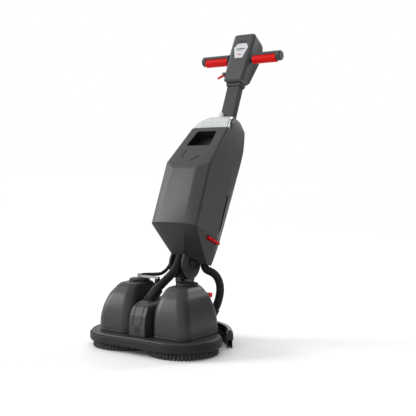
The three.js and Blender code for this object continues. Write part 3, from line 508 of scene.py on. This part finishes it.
def cut_by(piece, tool, operation="DIFFERENCE"):
    """A boolean with a tool that is used up."""
    step = piece.modifiers.new("cut", "BOOLEAN")
    step.operation = operation
    step.object = tool
    step.solver = "EXACT"
    applied(piece)
    bpy.data.objects.remove(tool)
    return piece


def copy_of(node, name):
    """A new object with the form of a CAD node, its corners joined."""
    bm = bmesh.new()
    bm.from_mesh(frame["nodes"][node].data)
    bmesh.ops.remove_doubles(bm, verts=bm.verts, dist=1e-6)
    return object_of(name, bm)


def rounding_form(name, nodes, radius, keep=lambda p: True, stretch=0.0):
    """The tight skin round some nodes, with its corners rounded; stretch carries its foot further down."""
    bm = bmesh.new()
    inverse = BODY.inverted()
    places = [inverse @ v.co for node in nodes for v in frame["nodes"][node].data.vertices]
    places = [p for p in places if keep(p)]
    foot = min(p.z for p in places)
    for p in places:
        low = stretch if p.z < foot + 2 * MM else 0.0
        bm.verts.new(BODY @ (p - Vector((0, 0, low))))
    bmesh.ops.remove_doubles(bm, verts=bm.verts, dist=1e-5)
    hull = bmesh.ops.convex_hull(bm, input=bm.verts)
    spare = [e for e in hull["geom_interior"] + hull["geom_unused"] if isinstance(e, bmesh.types.BMVert)]
    bmesh.ops.delete(bm, geom=list(set(spare)), context="VERTS")
    bmesh.ops.dissolve_limit(bm, angle_limit=math.radians(1.0), verts=bm.verts, edges=bm.edges)
    made = object_of(name, bm)
    step = made.modifiers.new("round", "BEVEL")
    step.width = radius
    step.segments = 5
    step.limit_method = "ANGLE"
    step.angle_limit = math.radians(12)
    return applied(made)


def soften(piece, radius=None, segments=2, angle=28):
    """Whole flats, small rounds on the sharp edges and even shading over them."""
    if "custom_normal" in piece.data.attributes:
        piece.data.attributes.remove(piece.data.attributes["custom_normal"])
    for polygon in piece.data.polygons:
        polygon.use_smooth = True
    weld = piece.modifiers.new("weld", "WELD")
    weld.merge_threshold = 2e-6
    flats = piece.modifiers.new("flats", "DECIMATE")
    flats.decimate_type = "DISSOLVE"
    flats.angle_limit = math.radians(0.8)
    edges = piece.modifiers.new("edges", "BEVEL")
    edges.width = radius or shape().fine_round
    edges.segments = segments
    edges.limit_method = "ANGLE"
    edges.angle_limit = math.radians(angle)
    edges.miter_outer = "MITER_ARC"
    even = piece.modifiers.new("even", "WEIGHTED_NORMAL")
    even.keep_sharp = False
    even.weight = 80
    return piece


def fit(piece, body, slot, *nodes):
    """Puts a piece on its body for the nodes that it stands for, in the slot's finish if it has none."""
    if not piece.data.materials:
        paint(piece, slot)
    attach(piece, body)
    if nodes:
        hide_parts(*nodes)


def keep_nodes(finish, radius, *nodes, segments=2):
    """CAD nodes that stay, with small rounds and their finish."""
    for node in nodes:
        piece = frame["nodes"][node]
        paint(piece, finish)
        soften(piece, radius, segments)


# ---- stage --------------------------------------------------------------------------------------

CAMERA_PLACE = (1.39636, -2.00319, 0.52622)
CAMERA_TURN = math.radians(34.117)  # to the right of straight in front
CAMERA_DIP = math.radians(2.8254)  # below level
DARK_SIDE = (0.828, 0.561, 0.0)  # the way to the side of the room that gives little light
SUN_WIDTH = math.radians(24)


class SCRUBBER_OT_stage(bpy.types.Operator):
    """Camera, soft studio lights and pale floor"""

    bl_idname = "scrubber.stage"
    bl_label = "Stage"

    def execute(self, context):
        stage = context.scene.scrubber_stage
        self.camera(context, stage)
        self.floor(stage)
        self.surroundings(context, stage)
        key = bpy.data.lights.new("key_light", "SUN")
        key.angle = SUN_WIDTH
        self.light(key, stage.key, (-3.4, -1.7, 2.3), (0, 0, 0.4))
        rim = bpy.data.lights.new("rim_light", "AREA")
        rim.size = 0.8
        self.light(rim, stage.rim, (0.9, 2.4, 1.9), (0, 0, 0.5))
        context.scene.view_settings.view_transform = "Standard"
        return {"FINISHED"}

    def camera(self, context, stage):
        data = bpy.data.cameras.new("camera")
        data.lens = stage.lens
        data.sensor_width = 36
        camera = bpy.data.objects.new("camera", data)
        context.scene.collection.objects.link(camera)
        level = Vector((-math.sin(CAMERA_TURN), math.cos(CAMERA_TURN), 0))
        ahead = level * math.cos(CAMERA_DIP) - Vector((0, 0, math.sin(CAMERA_DIP)))
        self.aim(camera, CAMERA_PLACE, ahead)
        context.scene.camera = camera

    def aim(self, thing, place, ahead):
        thing.location = place
        thing.rotation_mode = "QUATERNION"
        thing.rotation_quaternion = ahead.to_track_quat("-Z", "Y")

    def floor(self, stage):
        bm = bmesh.new()
        bmesh.ops.create_grid(bm, x_segments=1, y_segments=1, size=70.0)
        floor = object_of("floor", bm)
        s = surface("studio_floor")
        cloud = s.noise(1.3)
        base = tuple(stage.floor)
        shade = s.mix_colour(cloud, tint(base, 0.99), tint(base, 1.01))
        floor.data.materials.append(s.finish(Base_Color=shade, Roughness=0.62))

    def surroundings(self, context, stage):
        """A white room that lights from all sides but one, so that the faces turned there fall off."""
        world = bpy.data.worlds.new("studio")
        s = Surface(world)
        way = s.node("ShaderNodeTexCoord", {}, out="Generated")
        across = s.node("ShaderNodeVectorMath", {"operation": "DOT_PRODUCT"}, way, DARK_SIDE, out="Value")
        fall = across.within(0.26, 0.62, stage.sky, stage.sky * stage.shade)
        strength = fall.math("MAXIMUM", s.node("ShaderNodeLightPath", {}, out="Is Camera Ray"))
        room = s.node("ShaderNodeBackground", {}, Color=(1, 1, 1), Strength=strength)
        s.node("ShaderNodeOutputWorld", {}, Surface=room)
        context.scene.world = world

    def light(self, data, power, place, target):
        data.energy = power
        lamp = bpy.data.objects.new(data.name, data)
        bpy.context.scene.collection.objects.link(lamp)
        self.aim(lamp, place, Vector(target) - Vector(place))


# ---- hoses --------------------------------------------------------------------------------------

# Radii and routes in millimetres; the routes are measured from the floor under the brush line.
HOSE_R = 13.0
SOLUTION_HOSE_R = 5.5
POINTS_PER_RIB = 6
PLAIN_STEP = 3 * MM
FRONT_HOSE = [
    (0, 5, 166.7),
    (0, 24, 180),
    (0, 56, 196),
    (0, 88, 213),
    (0, 112, 236),
    (0, 124, 258.3),
    (0, 136, 286.6),
]
REAR_HOSE = [
    (41.5, 205.2, 237.6),
    (42, 200.5, 225),
    (50, 199.5, 215),
    (62, 200, 211),
    (75, 202.5, 204.5),
    (86, 205.5, 192),
    (92.5, 208, 175),
    (94, 209.5, 156),
    (91, 210.5, 136),
    (84, 211.6, 114),
    (76, 212.6, 98),
    (65, 213.9, 81.5),
]
SOLUTION_HOSE = [
    (-30.5, 145.4, 267.5),
    (-35, 132, 243),
    (-41, 117, 221),
    (-50, 100, 207.5),
    (-64, 86, 205),
    (-80, 72, 205),
    (-89, 61, 205),
    (-90, 49.4, 205),
]


class SCRUBBER_OT_hoses(bpy.types.Operator):
    """Two ribbed suction hoses and the thin solution hose, each split where it crosses a joint"""

    bl_idname = "scrubber.hoses"
    bl_label = "Hoses"

    def execute(self, context):
        # Each stretch: its name, where it ends along the route, and the bodies that it runs between.
        self.hose(
            "hose_front",
            FRONT_HOSE,
            HOSE_R,
            [("lower", 0.126, "deck", "neck"), ("upper", 1.0, "neck", "body")],
        )
        self.hose(
            "hose_rear",
            REAR_HOSE,
            HOSE_R,
            [
                ("upper", 0.2, "body", "neck"),
                ("middle", 0.66, "neck", "deck"),
                ("lower", 1.0, "deck", "squeegee"),
            ],
        )
        self.hose(
            "solution_hose",
            SOLUTION_HOSE,
            SOLUTION_HOSE_R,
            [("upper", 0.475, "body", "neck"), ("lower", 1.0, "neck", "deck")],
        )
        return {"FINISHED"}

    def hose(self, node, route, radius, stretches):
        ribbed = radius == HOSE_R
        step = shape().rib_pitch / POINTS_PER_RIB if ribbed else PLAIN_STEP
        line = smooth_line([deck_point(*p) for p in route], step)
        groove = shape().rib_depth if ribbed else 0.0

        def radius_at(i):
            wave = 0.5 - 0.5 * math.cos(2 * math.pi * i / POINTS_PER_RIB)
            return radius * MM - groove * wave**2

        first = 0
        made = []
        for part, share, body_a, body_b in stretches:
            last = round(share * (len(line) - 1))
            run = line[first : last + 1]
            piece = tube(f"{node}_{part}", run, radius_at, 20 if ribbed else 16, first)
            paint(piece, "rubber")
            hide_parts(node)
            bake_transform(piece)
            made.append((piece, run))
            first = last
        self.declare(made, 2 * radius * MM)

    def declare(self, made, diameter):
        """Measures each stretch of six diameters or more; nothing is kept from the measure."""
        ends = [piece for piece, run in made if line_length(run) < 6 * diameter]
        for piece, run in made:
            if piece not in ends:
                line_length(run)


# ---- deck ---------------------------------------------------------------------------------------


def stadium_ring(radius, height, steps=28):
    """The outline of the deck at a radius round the two brush axes."""
    ring = []
    for side in (1, -1):
        for i in range(steps + 1):
            angle = -math.pi / 2 + math.pi * i / steps + (0 if side > 0 else math.pi)
            x = side * BRUSH_SPREAD + radius * MM * math.cos(angle)
            ring.append(Vector((x, BRUSH_LINE + radius * MM * math.sin(angle), height * MM)))
    return ring


class SCRUBBER_OT_deck(bpy.types.Operator):
    """Deck plate, bumper, motor cover, hose cuff and the solution rail with its valve"""

    bl_idname = "scrubber.deck"
    bl_label = "Deck"

    def execute(self, context):
        self.plate()
        self.bumper()
        self.cover()
        keep_nodes("black_plastic", 0.8 * MM, "hose_cuff", "solution_valve")
        keep_nodes("grey_plastic", 0.8 * MM, "solution_rail")
        return {"FINISHED"}

    def plate(self):
        # Radius and height round the rim, from the underside outwards and over to the top plate.
        profile = [
            (103.0, 44.0),
            (104.4, 43.0),
            (104.5, 23.6),
            (105.0, 23.0),
            (107.2, 23.0),
            (107.9, 23.8),
            (108.0, 44.6),
            (107.7, 46.4),
            (106.8, 47.9),
            (105.2, 48.8),
            (103.4, 49.0),
            (101.4, 49.0),
            (100.9, 48.5),
            (100.4, 47.9),
            (98.9, 47.9),
            (98.4, 48.5),
            (97.9, 49.0),
        ]
        piece = skin("deck_plate", [stadium_ring(r, z) for r, z in profile])
        paint(piece, "tank_plastic")
        fit(soften(piece, 0.3 * MM, 1, 60), "deck", "graphite_plastic", "deck_housing")

    def bumper(self):
        # Radius and height round the band, outwards from its foot, with a line sunk along its middle.
        profile = [
            (108.3, 21.8),
            (109.4, 21.1),
            (111.2, 21.4),
            (112.3, 22.4),
            (112.9, 24.4),
            (113.0, 27.0),
            (113.0, 33.6),
            (112.5, 34.2),
            (112.5, 35.0),
            (113.0, 35.6),
            (112.9, 39.2),
            (112.3, 41.6),
            (110.9, 42.8),
            (109.2, 42.9),
            (108.3, 42.2),
        ]
        piece = skin("bumper_band", [stadium_ring(r, z) for r, z in profile], closed=True)
        fit(soften(piece, 0.2 * MM, 1, 70), "deck", "rubber", "bumper")

    def front_at(self, z):
        """Where the front of the motor cover stands at a height, in millimetres."""
        marks = [(0, -84), (84, -84), (108, -79), (131, -67), (146, -48), (151, -30)]
        for (z0, y0), (z1, y1) in zip(marks, marks[1:]):
            if z <= z1:
                return y0 + (y1 - y0) * (z - z0) / (z1 - z0)
        return marks[-1][1]

    def cover(self):
        form = rounding_form("cover_form", ["motor_cover"], 2.4 * MM)
        piece = cut_by(copy_of("motor_cover", "motor_cover_shell"), form, "INTERSECT")
        cut_by(piece, tube("groove", self.arch_line(), lambda i: shape().groove, 10))
        fit(soften(piece, 0.6 * MM), "deck", "graphite_plastic", "motor_cover")
        self.boss()

    def arch_line(self):
        """The U-shaped line sunk into the front of the motor cover."""
        half, low, high = 15.0, 92.0, 141.0
        path = [(-half, high - 4 * i) for i in range(12)]
        for i in range(1, 10):
            angle = math.pi * i / 10
            path.append((-half * math.cos(angle), low - half * math.sin(angle)))
        path += [(half, low + 4 * i) for i in range(12)]
        return smooth_line([deck_point(x, self.front_at(z), z) for x, z in path], 2 * MM)

    def boss(self):
        """The round boss low on the front of the motor cover."""
        face = Matrix.Translation(deck_point(0, -84, 67)) @ Matrix.Rotation(math.pi / 2, 4, "X")
        profile = [(9.2, -1), (9.2, 0.5), (8.8, 0.9), (6.6, 1.0), (6.2, 0.4), (3.4, 0.4)]
        profile += [(3.0, 1.0), (1.0, 1.1)]
        fit(turned("motor_cover_boss", profile, face, 36), "deck", "charcoal_plastic")


# ---- brushes ------------------------------------------------------------------------------------

# Rows of tufts: how far in from the rim, in millimetres, and how many.
TUFT_ROWS = ((3.4, 58), (14, 50), (26, 42), (40, 32))
FILAMENTS = 11  # in each tuft
SUNFLOWER_TURN = math.pi * (3 - math.sqrt(5))


class SCRUBBER_OT_brushes(bpy.types.Operator):
    """Tufted bristle rings with their blocks and gears"""

    bl_idname = "scrubber.brushes"
    bl_label = "Brushes"

    def execute(self, context):
        for name, _ in SIDES:
            self.tufts(name)
        blocks = [f"{part}_{name}" for part in ("brush_block", "brush_gear") for name, _ in SIDES]
        keep_nodes("black_plastic", 0.3 * MM, *blocks, segments=1)
        keep_nodes("steel", 0.25 * MM, "drive_pinion", "idler_gear", segments=1)
        return {"FINISHED"}

    def tufts(self, name):
        low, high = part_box(f"bristles_{name}")
        centre = (low + high) / 2
        rim = (high.x - low.x) / 2
        bm = bmesh.new()
        for row, (inset, count) in enumerate(TUFT_ROWS):
            radius = rim - inset * MM
            for i in range(count):
                angle = 2 * math.pi * (i + 0.5 * (row % 2)) / count
                out = Vector((math.cos(angle), math.sin(angle), 0))
                root = Vector((centre.x, centre.y, 0)) + out * radius
                self.tuft(bm, root, out, high.z + 0.6 * MM, i + 100 * row)
        fit(object_of(f"tufts_{name}", bm), f"brush_{name}", "bristle", f"bristles_{name}")

    def tuft(self, bm, root, out, top, seed):
        """One bundle: filaments set in a sunflower pattern that spreads a little towards the floor."""
        for k in range(FILAMENTS):
            turn = k * SUNFLOWER_TURN + seed
            reach = 2.7 * MM * math.sqrt((k + 0.5) / FILAMENTS)
            offset = Vector((reach * math.cos(turn), reach * math.sin(turn), 0))
            splay = out * (0.3 + 0.3 * math.sin(seed * 1.7 + k)) * MM
            foot = root + offset * 1.25 + splay
            head = root + offset + Vector((0, 0, top))
            self.filament(bm, foot, head, turn)

    def filament(self, bm, foot, head, turn):
        """A five-sided bristle, a little thinner at its foot."""
        sides = 5
        ends = []
        for place, width in ((foot, 0.8), (head, 1.0)):
            ring = []
            for i in range(sides):
                angle = turn + 2 * math.pi * i / sides
                arm = Vector((math.cos(angle), math.sin(angle), 0)) * shape().filament / 2 * width
                ring.append(bm.verts.new(place + arm))
            ends.append(ring)
        low, high = ends
        for i in range(sides):
            bm.faces.new((low[i], low[i - 1], high[i - 1], high[i]))
        bm.faces.new(low)
        bm.faces.new(reversed(high))


# ---- clean-water tanks --------------------------------------------------------------------------


class SCRUBBER_OT_tanks(bpy.types.Operator):
    """Two bell-shaped clean-water tanks with their caps and release buttons"""

    bl_idname = "scrubber.tanks"
    bl_label = "Clean tanks"

    # Height, inner and outer side, front, back and corner radius of the right tank.
    LEVELS = [
        (49.3, 38, 165, -74, 110, 30),
        (92, 38, 163, -73, 108, 31),
        (126, 39, 156.2, -66, 103, 31),
        (158, 45, 144, -52, 95, 29),
        (182, 52, 129, -32, 82, 26),
        (189, 57, 122, -22, 76, 24),
    ]

    def execute(self, context):
        for name, side in SIDES:
            self.tank(name, side)
            self.cap(name)
        keep_nodes("red_plastic", 1.4 * MM, "tank_release_left", "tank_release_right", segments=3)
        return {"FINISHED"}

    def level_at(self, height):
        """The tank's outline sizes at a height, on a smooth curve through the levels."""
        levels = self.LEVELS
        i = max(k for k in range(len(levels) - 1) if levels[k][0] <= height + 1e-9)
        before, a = levels[max(i - 1, 0)], levels[i]
        b, after = levels[i + 1], levels[min(i + 2, len(levels) - 1)]
        t = (height - a[0]) / (b[0] - a[0])
        sizes = []
        for p, q, r, s in zip(before[1:], a[1:], b[1:], after[1:]):
            slope_q = (r - p) / 2 if i else r - q
            slope_r = (s - q) / 2 if i + 2 < len(levels) else r - q
            rise = q + slope_q * t + (3 * (r - q) - 2 * slope_q - slope_r) * t * t
            sizes.append(rise + (2 * (q - r) + slope_q + slope_r) * t**3)
        return sizes

    def ring(self, height, inset, side):
        x0, x1, y0, y1, radius = self.level_at(height)
        x0, x1, y0, y1 = x0 + inset, x1 - inset, y0 + inset, y1 - inset
        centres = [
            (x1 - radius, y1 - radius),
            (x0 + radius, y1 - radius),
            (x0 + radius, y0 + radius),
            (x1 - radius, y0 + radius),
        ]
        ring = []
        for corner, (cx, cy) in enumerate(centres):
            for k in range(9):
                angle = (corner + k / 8) * math.pi / 2
                x, y = cx + radius * math.cos(angle), cy + radius * math.sin(angle)
                ring.append(deck_point(side * x, y, height))
        return ring

    def tank(self, name, side):
        foot, top = self.LEVELS[0][0], self.LEVELS[-1][0]
        marks = [(foot, 1.0), (foot + 0.4, 0.3), (foot + 1.2, 0), (foot + 5, 0), (foot + 5.6, 0.9)]
        marks += [(foot + 7.2, 0.9), (foot + 7.8, 0)]
        climb = [foot + 12 + (top - foot - 16) * i / 26 for i in range(27)]
        marks += [(z, 0) for z in climb]
        marks += [(top - 2.2, 0.4), (top - 0.9, 1.4), (top - 0.2, 2.8), (top, 4.6)]
        piece = skin(f"clean_tank_shell_{name}", [self.ring(z, inset, side) for z, inset in marks])
        low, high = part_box(f"tank_release_{name}")
        gap = 0.8
        size = [(low[i] / MM - gap, high[i] / MM + gap) for i in range(3)]
        size[1] = (low.y / MM - 4, high.y / MM + 20)
        cut_by(piece, bar_mesh("button_room", size, Matrix.Identity(4)))
        paint(piece, "tank_plastic")
        soften(piece, gap * MM, 2, 40)
        fit(piece, f"tank_{name}", "graphite_plastic", f"clean_tank_{name}")

    def cap(self, name):
        place = joint_place(f"cap_{name}_turn")
        axis = Matrix.Translation((place.x, place.y, 0))
        profile = [
            (24.5, 178.0),
            (24.7, 188.6),
            (32.4, 189.3),
            (33.0, 189.9),
            (33.0, 191.2),
            (31.4, 191.9),
            (31.4, 192.3, True),
            (31.2, 195.2, True),
            (30.4, 196.2),
            (28.6, 196.9),
            (26.0, 197.0),
            (25.2, 196.4),
            (20.6, 196.4),
            (19.6, 197.2),
            (8.0, 197.5),
        ]
        cap = turned(f"cap_{name}_turned", profile, axis, sides=96, teeth=24, depth=1.0)
        fit(soften(cap, 0.3 * MM, 1, 40), f"cap_{name}", "black_plastic", f"tank_cap_{name}")
        loop = tube(f"cap_{name}_loop", self.arch(place), lambda i: 1.5 * MM, 12)
        fit(loop, f"cap_{name}", "black_plastic")

    def arch(self, place):
        """Half a circle that stands on the rim of a cap, as a lifting loop."""
        reach, radius, foot = 19, 5.6, 196.6
        line = []
        for i in range(15):
            angle = math.pi * i / 14
            x, z = reach + radius * math.cos(angle), foot + radius * math.sin(angle)
            line.append(Vector((place.x + x * MM, place.y, z * MM)))
        return line


# ---- squeegee, wheels and neck ------------------------------------------------------------------


class SCRUBBER_OT_rear(bpy.types.Operator):
    """Squeegee with its blades and elbow, transport wheels, pedestal and yoke"""

    bl_idname = "scrubber.rear"
    bl_label = "Squeegee and neck"

    def execute(self, context):
        keep_nodes("gloss_black", 1.6 * MM, "squeegee_body", segments=3)
        keep_nodes("rubber", 0.4 * MM, "squeegee_blade_front", "squeegee_blade_rear", segments=1)
        keep_nodes("black_plastic", 1.2 * MM, "suction_elbow", segments=3)
        keep_nodes("cast_alloy", 1.6 * MM, "pedestal", "yoke", segments=3)
        keep_nodes("steel", 0.6 * MM, "steer_pin", "wheel_axle", "brush_motor")
        keep_nodes("cast_alloy", 0.6 * MM, "tilt_pin")
        for name, side in SIDES:
            self.wheel(name, side)
        return {"FINISHED"}

    def wheel(self, name, side):
        axle = joint_place(f"wheel_{name}_spin")
        axis = Matrix.Translation(axle) @ Matrix.Rotation(side * math.pi / 2, 4, "Y")
        profile = [(6.4, -11), (23, -11), (26.4, -10.9), (28.6, -9.8), (29.7, -7.6), (30, -4.6)]
        for groove in (-3.2, 3.2):
            profile += [(30, groove - 0.9), (29.1, groove - 0.6), (29.1, groove + 0.6), (30, groove + 0.9)]
        profile += [(30, 4.6), (29.7, 7.6), (28.6, 9.8), (26.4, 10.9), (23.4, 11), (22.6, 10.4)]
        profile += [(21.6, 8.2), (12.0, 8.0), (11.2, 8.6), (10.6, 10.2), (6.4, 10.4)]
        piece = soften(turned(f"wheel_{name}_tyre", profile, axis, 48), 0.2 * MM, 1, 60)
        fit(piece, f"wheel_{name}", "rubber", f"transport_wheel_{name}")


# ---- leaning body -------------------------------------------------------------------------------

# Two front faces in the body's own upright: how far back and how high their foot and their top are.
TANK_SLOPE = ((-122, 272), (-40, 446))
HEAD_FRONT = ((20, 655), (31, 834))
POCKET_HEIGHT, SHIELD_HEIGHT, LABEL_HEIGHT = 397, 326, 768
# Stands an outline up, so that it is carried from front to back.
UPRIGHT = Matrix(((1, 0, 0, 0), (0, 0, 1, 0), (0, 1, 0, 0), (0, 0, 0, 1)))


def face_matrix(face, height):
    """On a front face at a height: X across, Y up the face, Z outwards."""
    (y0, z0), (y1, z1) = face
    y = y0 + (y1 - y0) * (height - z0) / (z1 - z0)
    turn = Matrix.Rotation(math.pi / 2 - math.atan2(y1 - y0, z1 - z0), 4, "X")
    return BODY @ Matrix.Translation((0, y * MM, height * MM)) @ turn


class SCRUBBER_OT_body(bpy.types.Operator):
    """Waste tank, housings, clear lid, clip, float, suction motor and battery"""

    bl_idname = "scrubber.body"
    bl_label = "Body"

    def execute(self, context):
        self.waste_tank()
        self.rear_housing()
        self.lower_housing()
        self.lid()
        keep_nodes("red_plastic", 1.2 * MM, "tank_clip", segments=3)
        keep_nodes("grey_plastic", 0.4 * MM, "float_cage", segments=1)
        keep_nodes("red_plastic", 0.3 * MM, "float_ball", "battery_latch", segments=1)
        keep_nodes("black_plastic", 2.0 * MM, "battery_pack", segments=3)
        keep_nodes("steel", 0.8 * MM, "suction_motor")
        return {"FINISHED"}

    def outer_form(self):
        nodes = ["waste_tank", "rear_housing"]
        return rounding_form("body_form", nodes, shape().shell_round, stretch=160 * MM)

    def waste_tank(self):
        piece = cut_by(copy_of("waste_tank", "waste_tank_shell"), self.outer_form(), "INTERSECT")
        face = face_matrix(TANK_SLOPE, POCKET_HEIGHT)
        right = [(42.3, -35.3), (44.3, -28.8), (37.3, 33.2), (32.2, 36.3)]
        corners = right + [(-x, y) for x, y in reversed(right)]
        cut_by(piece, prism("pocket", rounded(corners, 2.5, 3), -30, 30, face))
        cut_by(piece, tube("shield", self.shield_line(), lambda i: shape().groove, 10))
        # Painted shade goes on the inside of the pocket as the second finish.
        paint(piece, "graphite_plastic", "painted_recess_shade")
        self.paint_pocket_shade(piece, face)
        fit(soften(piece, 1.0 * MM, 2), "waste", "graphite_plastic", "waste_tank")

    def paint_pocket_shade(self, piece, face):
        """Painted shade: the second finish, near black, on what lies inside the pocket, but not on the
        slanted face round it.
        """
        outwards = face.to_3x3() @ Vector((0, 0, 1))
        inverse = face.inverted()
        for polygon in piece.data.polygons:
            spot = inverse @ polygon.center / MM
            inside = abs(spot.x) < 50 and abs(spot.y) < 40 and -40 < spot.z < -0.4
            flush = polygon.normal.dot(outwards) > 0.9 and spot.z > -6
            polygon.material_index = int(inside and not flush)

    def shield_line(self):
        """The line sunk below the pocket: across the top, then down to a point like a shield."""
        marks = [(30, 22), (-20, 22), (-29, 21), (-33, 16), (-34, 8), (-33, -6), (-27, -16), (-12, -25)]
        marks += [(0, -29), (12, -25), (24, -17), (31, -8)]
        face = face_matrix(TANK_SLOPE, SHIELD_HEIGHT)
        return smooth_line([face @ Vector((x * MM, y * MM, 0)) for x, y in marks], 2 * MM)

    def rear_housing(self):
        """Painted shade: the second finish, near black, goes on the inside of the side slots and on the floor
        and roof of each vent.
        """
        piece = cut_by(copy_of("rear_housing", "rear_housing_shell"), self.outer_form(), "INTERSECT")
        paint(piece, "graphite_plastic", "painted_recess_shade")
        inverse = BODY.inverted()
        across = BODY.to_3x3() @ Vector((1, 0, 0))
        upwards = BODY.to_3x3() @ Vector((0, 0, 1))
        for polygon in piece.data.polygons:
            spot = inverse @ polygon.center / MM
            slot = 115 < spot.z < 237 and 16 < spot.y < 28.5 and 70 < abs(spot.x) < 84
            flush = abs(polygon.normal.dot(across)) > 0.8 and abs(spot.x) > 76
            vent = 267 < spot.z < 325 and abs(spot.x) < 27 and 40 < spot.y
            level = abs(polygon.normal.dot(upwards)) > 0.9
            polygon.material_index = int((slot and not flush) or (vent and level))
        fit(soften(piece, 0.9 * MM, 2), "body", "graphite_plastic", "rear_housing")

    def lower_housing(self):
        piece = cut_by(copy_of("lower_housing", "lower_housing_shell"), self.outer_form(), "INTERSECT")
        fit(soften(piece, 1.6 * MM, 3), "body", "charcoal_plastic", "lower_housing")

    def lid(self):
        tab_foot = 516 * MM
        form = rounding_form("lid_form", ["waste_lid"], 6 * MM, keep=lambda p: p.z < tab_foot)
        piece = cut_by(copy_of("waste_lid", "waste_lid_shell"), form, "INTERSECT")
        tab = rounded([(-22, 509), (-8, 509), (-8, 531), (-22, 531)], 3, 4)
        cut_by(piece, prism("tab", tab, 22.5, 31.5, BODY @ UPRIGHT), "UNION")
        fit(soften(piece, 0.8 * MM, 2), "lid", "clear_plastic", "waste_lid")


# ---- head ---------------------------------------------------------------------------------------


class SCRUBBER_OT_head(bpy.types.Operator):
    """Head shells, blank label, panel with its buttons, collar and post"""

    bl_idname = "scrubber.head"
    bl_label = "Head"

    def execute(self, context):
        self.pod()
        keep_nodes("label_foil", 0.4 * MM, "label_plate")
        self.stripes()
        keep_nodes("charcoal_plastic", 1.6 * MM, "collar", "post", segments=3)
        keep_nodes("black_plastic", 1.0 * MM, "control_panel")
        keep_nodes("grey_plastic", 1.0 * MM, "button_power", "button_suction", "button_water", segments=3)
        return {"FINISHED"}

    def pod(self):
        """The front and rear shell, rounded together; the front one has ears for the handlebar."""
        for node, finish in (("pod_front", "graphite_plastic"), ("pod_rear", "charcoal_plastic")):
            form = rounding_form("head_form", ["pod_front", "pod_rear"], shape().head_round, self.shell_only)
            if node == "pod_front":
                cut_by(form, bar_mesh("ears", [(-52, -40), (22, 42), (670, 690)], BODY), "UNION")
            piece = cut_by(copy_of(node, f"{node}_shell"), form, "INTERSECT")
            if node == "pod_front":
                self.brow(piece)
            fit(soften(piece, 0.7 * MM, 2), "body", finish, node)

    def shell_only(self, place):
        return abs(place.x) < 43.2 * MM

    def stripes(self):
        """Three plain bars on the label, where a maker would print."""
        bars = (
            ((-17, 17), (5.5, 9.0), "charcoal_plastic"),
            ((-12, 8), (1.0, 2.6), "graphite_plastic"),
            ((-8, 8), (-17, -13.8), "red_plastic"),
        )
        for i, ((left, right), (low, high), finish) in enumerate(bars):
            corners = rounded([(left, low), (right, low), (right, high), (left, high)], 0.7, 3)
            bar = prism(f"label_bar_{i + 1}", corners, 0.42, 0.62, self.label_matrix())
            fit(bar, "body", finish)

    def label_matrix(self):
        return face_matrix(HEAD_FRONT, LABEL_HEIGHT)

    def brow(self, piece):
        """The short slot sunk above the label."""
        slot = rounded([(-16, 36.5), (16, 36.5), (14.5, 40), (-14.5, 40)], 1.0, 3)
        cut_by(piece, prism("brow", slot, -1.6, 4, self.label_matrix()))


# ---- handles ------------------------------------------------------------------------------------


class SCRUBBER_OT_handles(bpy.types.Operator):
    """Handlebar, grips, red paddles and the small lever"""

    bl_idname = "scrubber.handles"
    bl_label = "Handles"

    def execute(self, context):
        keep_nodes("steel", 0.6 * MM, "handlebar")
        keep_nodes("graphite_plastic", 1.4 * MM, "grip_left", "grip_right", segments=3)
        keep_nodes("red_plastic", 1.4 * MM, "trigger_left", "trigger_right", "lock_lever", segments=3)
        return {"FINISHED"}


# ---- panel and registration ---------------------------------------------------------------------

OPERATORS = (
    SCRUBBER_OT_stage,
    SCRUBBER_OT_hoses,
    SCRUBBER_OT_deck,
    SCRUBBER_OT_brushes,
    SCRUBBER_OT_tanks,
    SCRUBBER_OT_rear,
    SCRUBBER_OT_body,
    SCRUBBER_OT_head,
    SCRUBBER_OT_handles,
)


class SCRUBBER_PT_panel(bpy.types.Panel):
    """Buttons that make each group of pieces"""

    bl_label = "Floor scrubber"
    bl_idname = "SCRUBBER_PT_panel"
    bl_space_type = "VIEW_3D"
    bl_region_type = "UI"
    bl_category = "Scrubber"

    def draw(self, context):
        for operator in OPERATORS:
            self.layout.operator(operator.bl_idname)
        for group in ("scrubber_colours", "scrubber_shape", "scrubber_stage"):
            settings = getattr(context.scene, group)
            for key in settings.bl_rna.properties.keys():
                if key not in ("rna_type", "name"):
                    self.layout.prop(settings, key)


CLASSES = (ScrubberColours, ScrubberShape, ScrubberStage, *OPERATORS, SCRUBBER_PT_panel)


def register():
    for cls in CLASSES:
        bpy.utils.register_class(cls)
    bpy.types.Scene.scrubber_colours = bpy.props.PointerProperty(type=ScrubberColours)
    bpy.types.Scene.scrubber_shape = bpy.props.PointerProperty(type=ScrubberShape)
    bpy.types.Scene.scrubber_stage = bpy.props.PointerProperty(type=ScrubberStage)


def unregister():
    del bpy.types.Scene.scrubber_stage
    del bpy.types.Scene.scrubber_shape
    del bpy.types.Scene.scrubber_colours
    for cls in reversed(CLASSES):
        bpy.utils.unregister_class(cls)


def main():
    register()
    for operator in OPERATORS:
        group, name = operator.bl_idname.split(".")
        getattr(getattr(bpy.ops, group), name)()


if __name__ == "__main__":
    main()
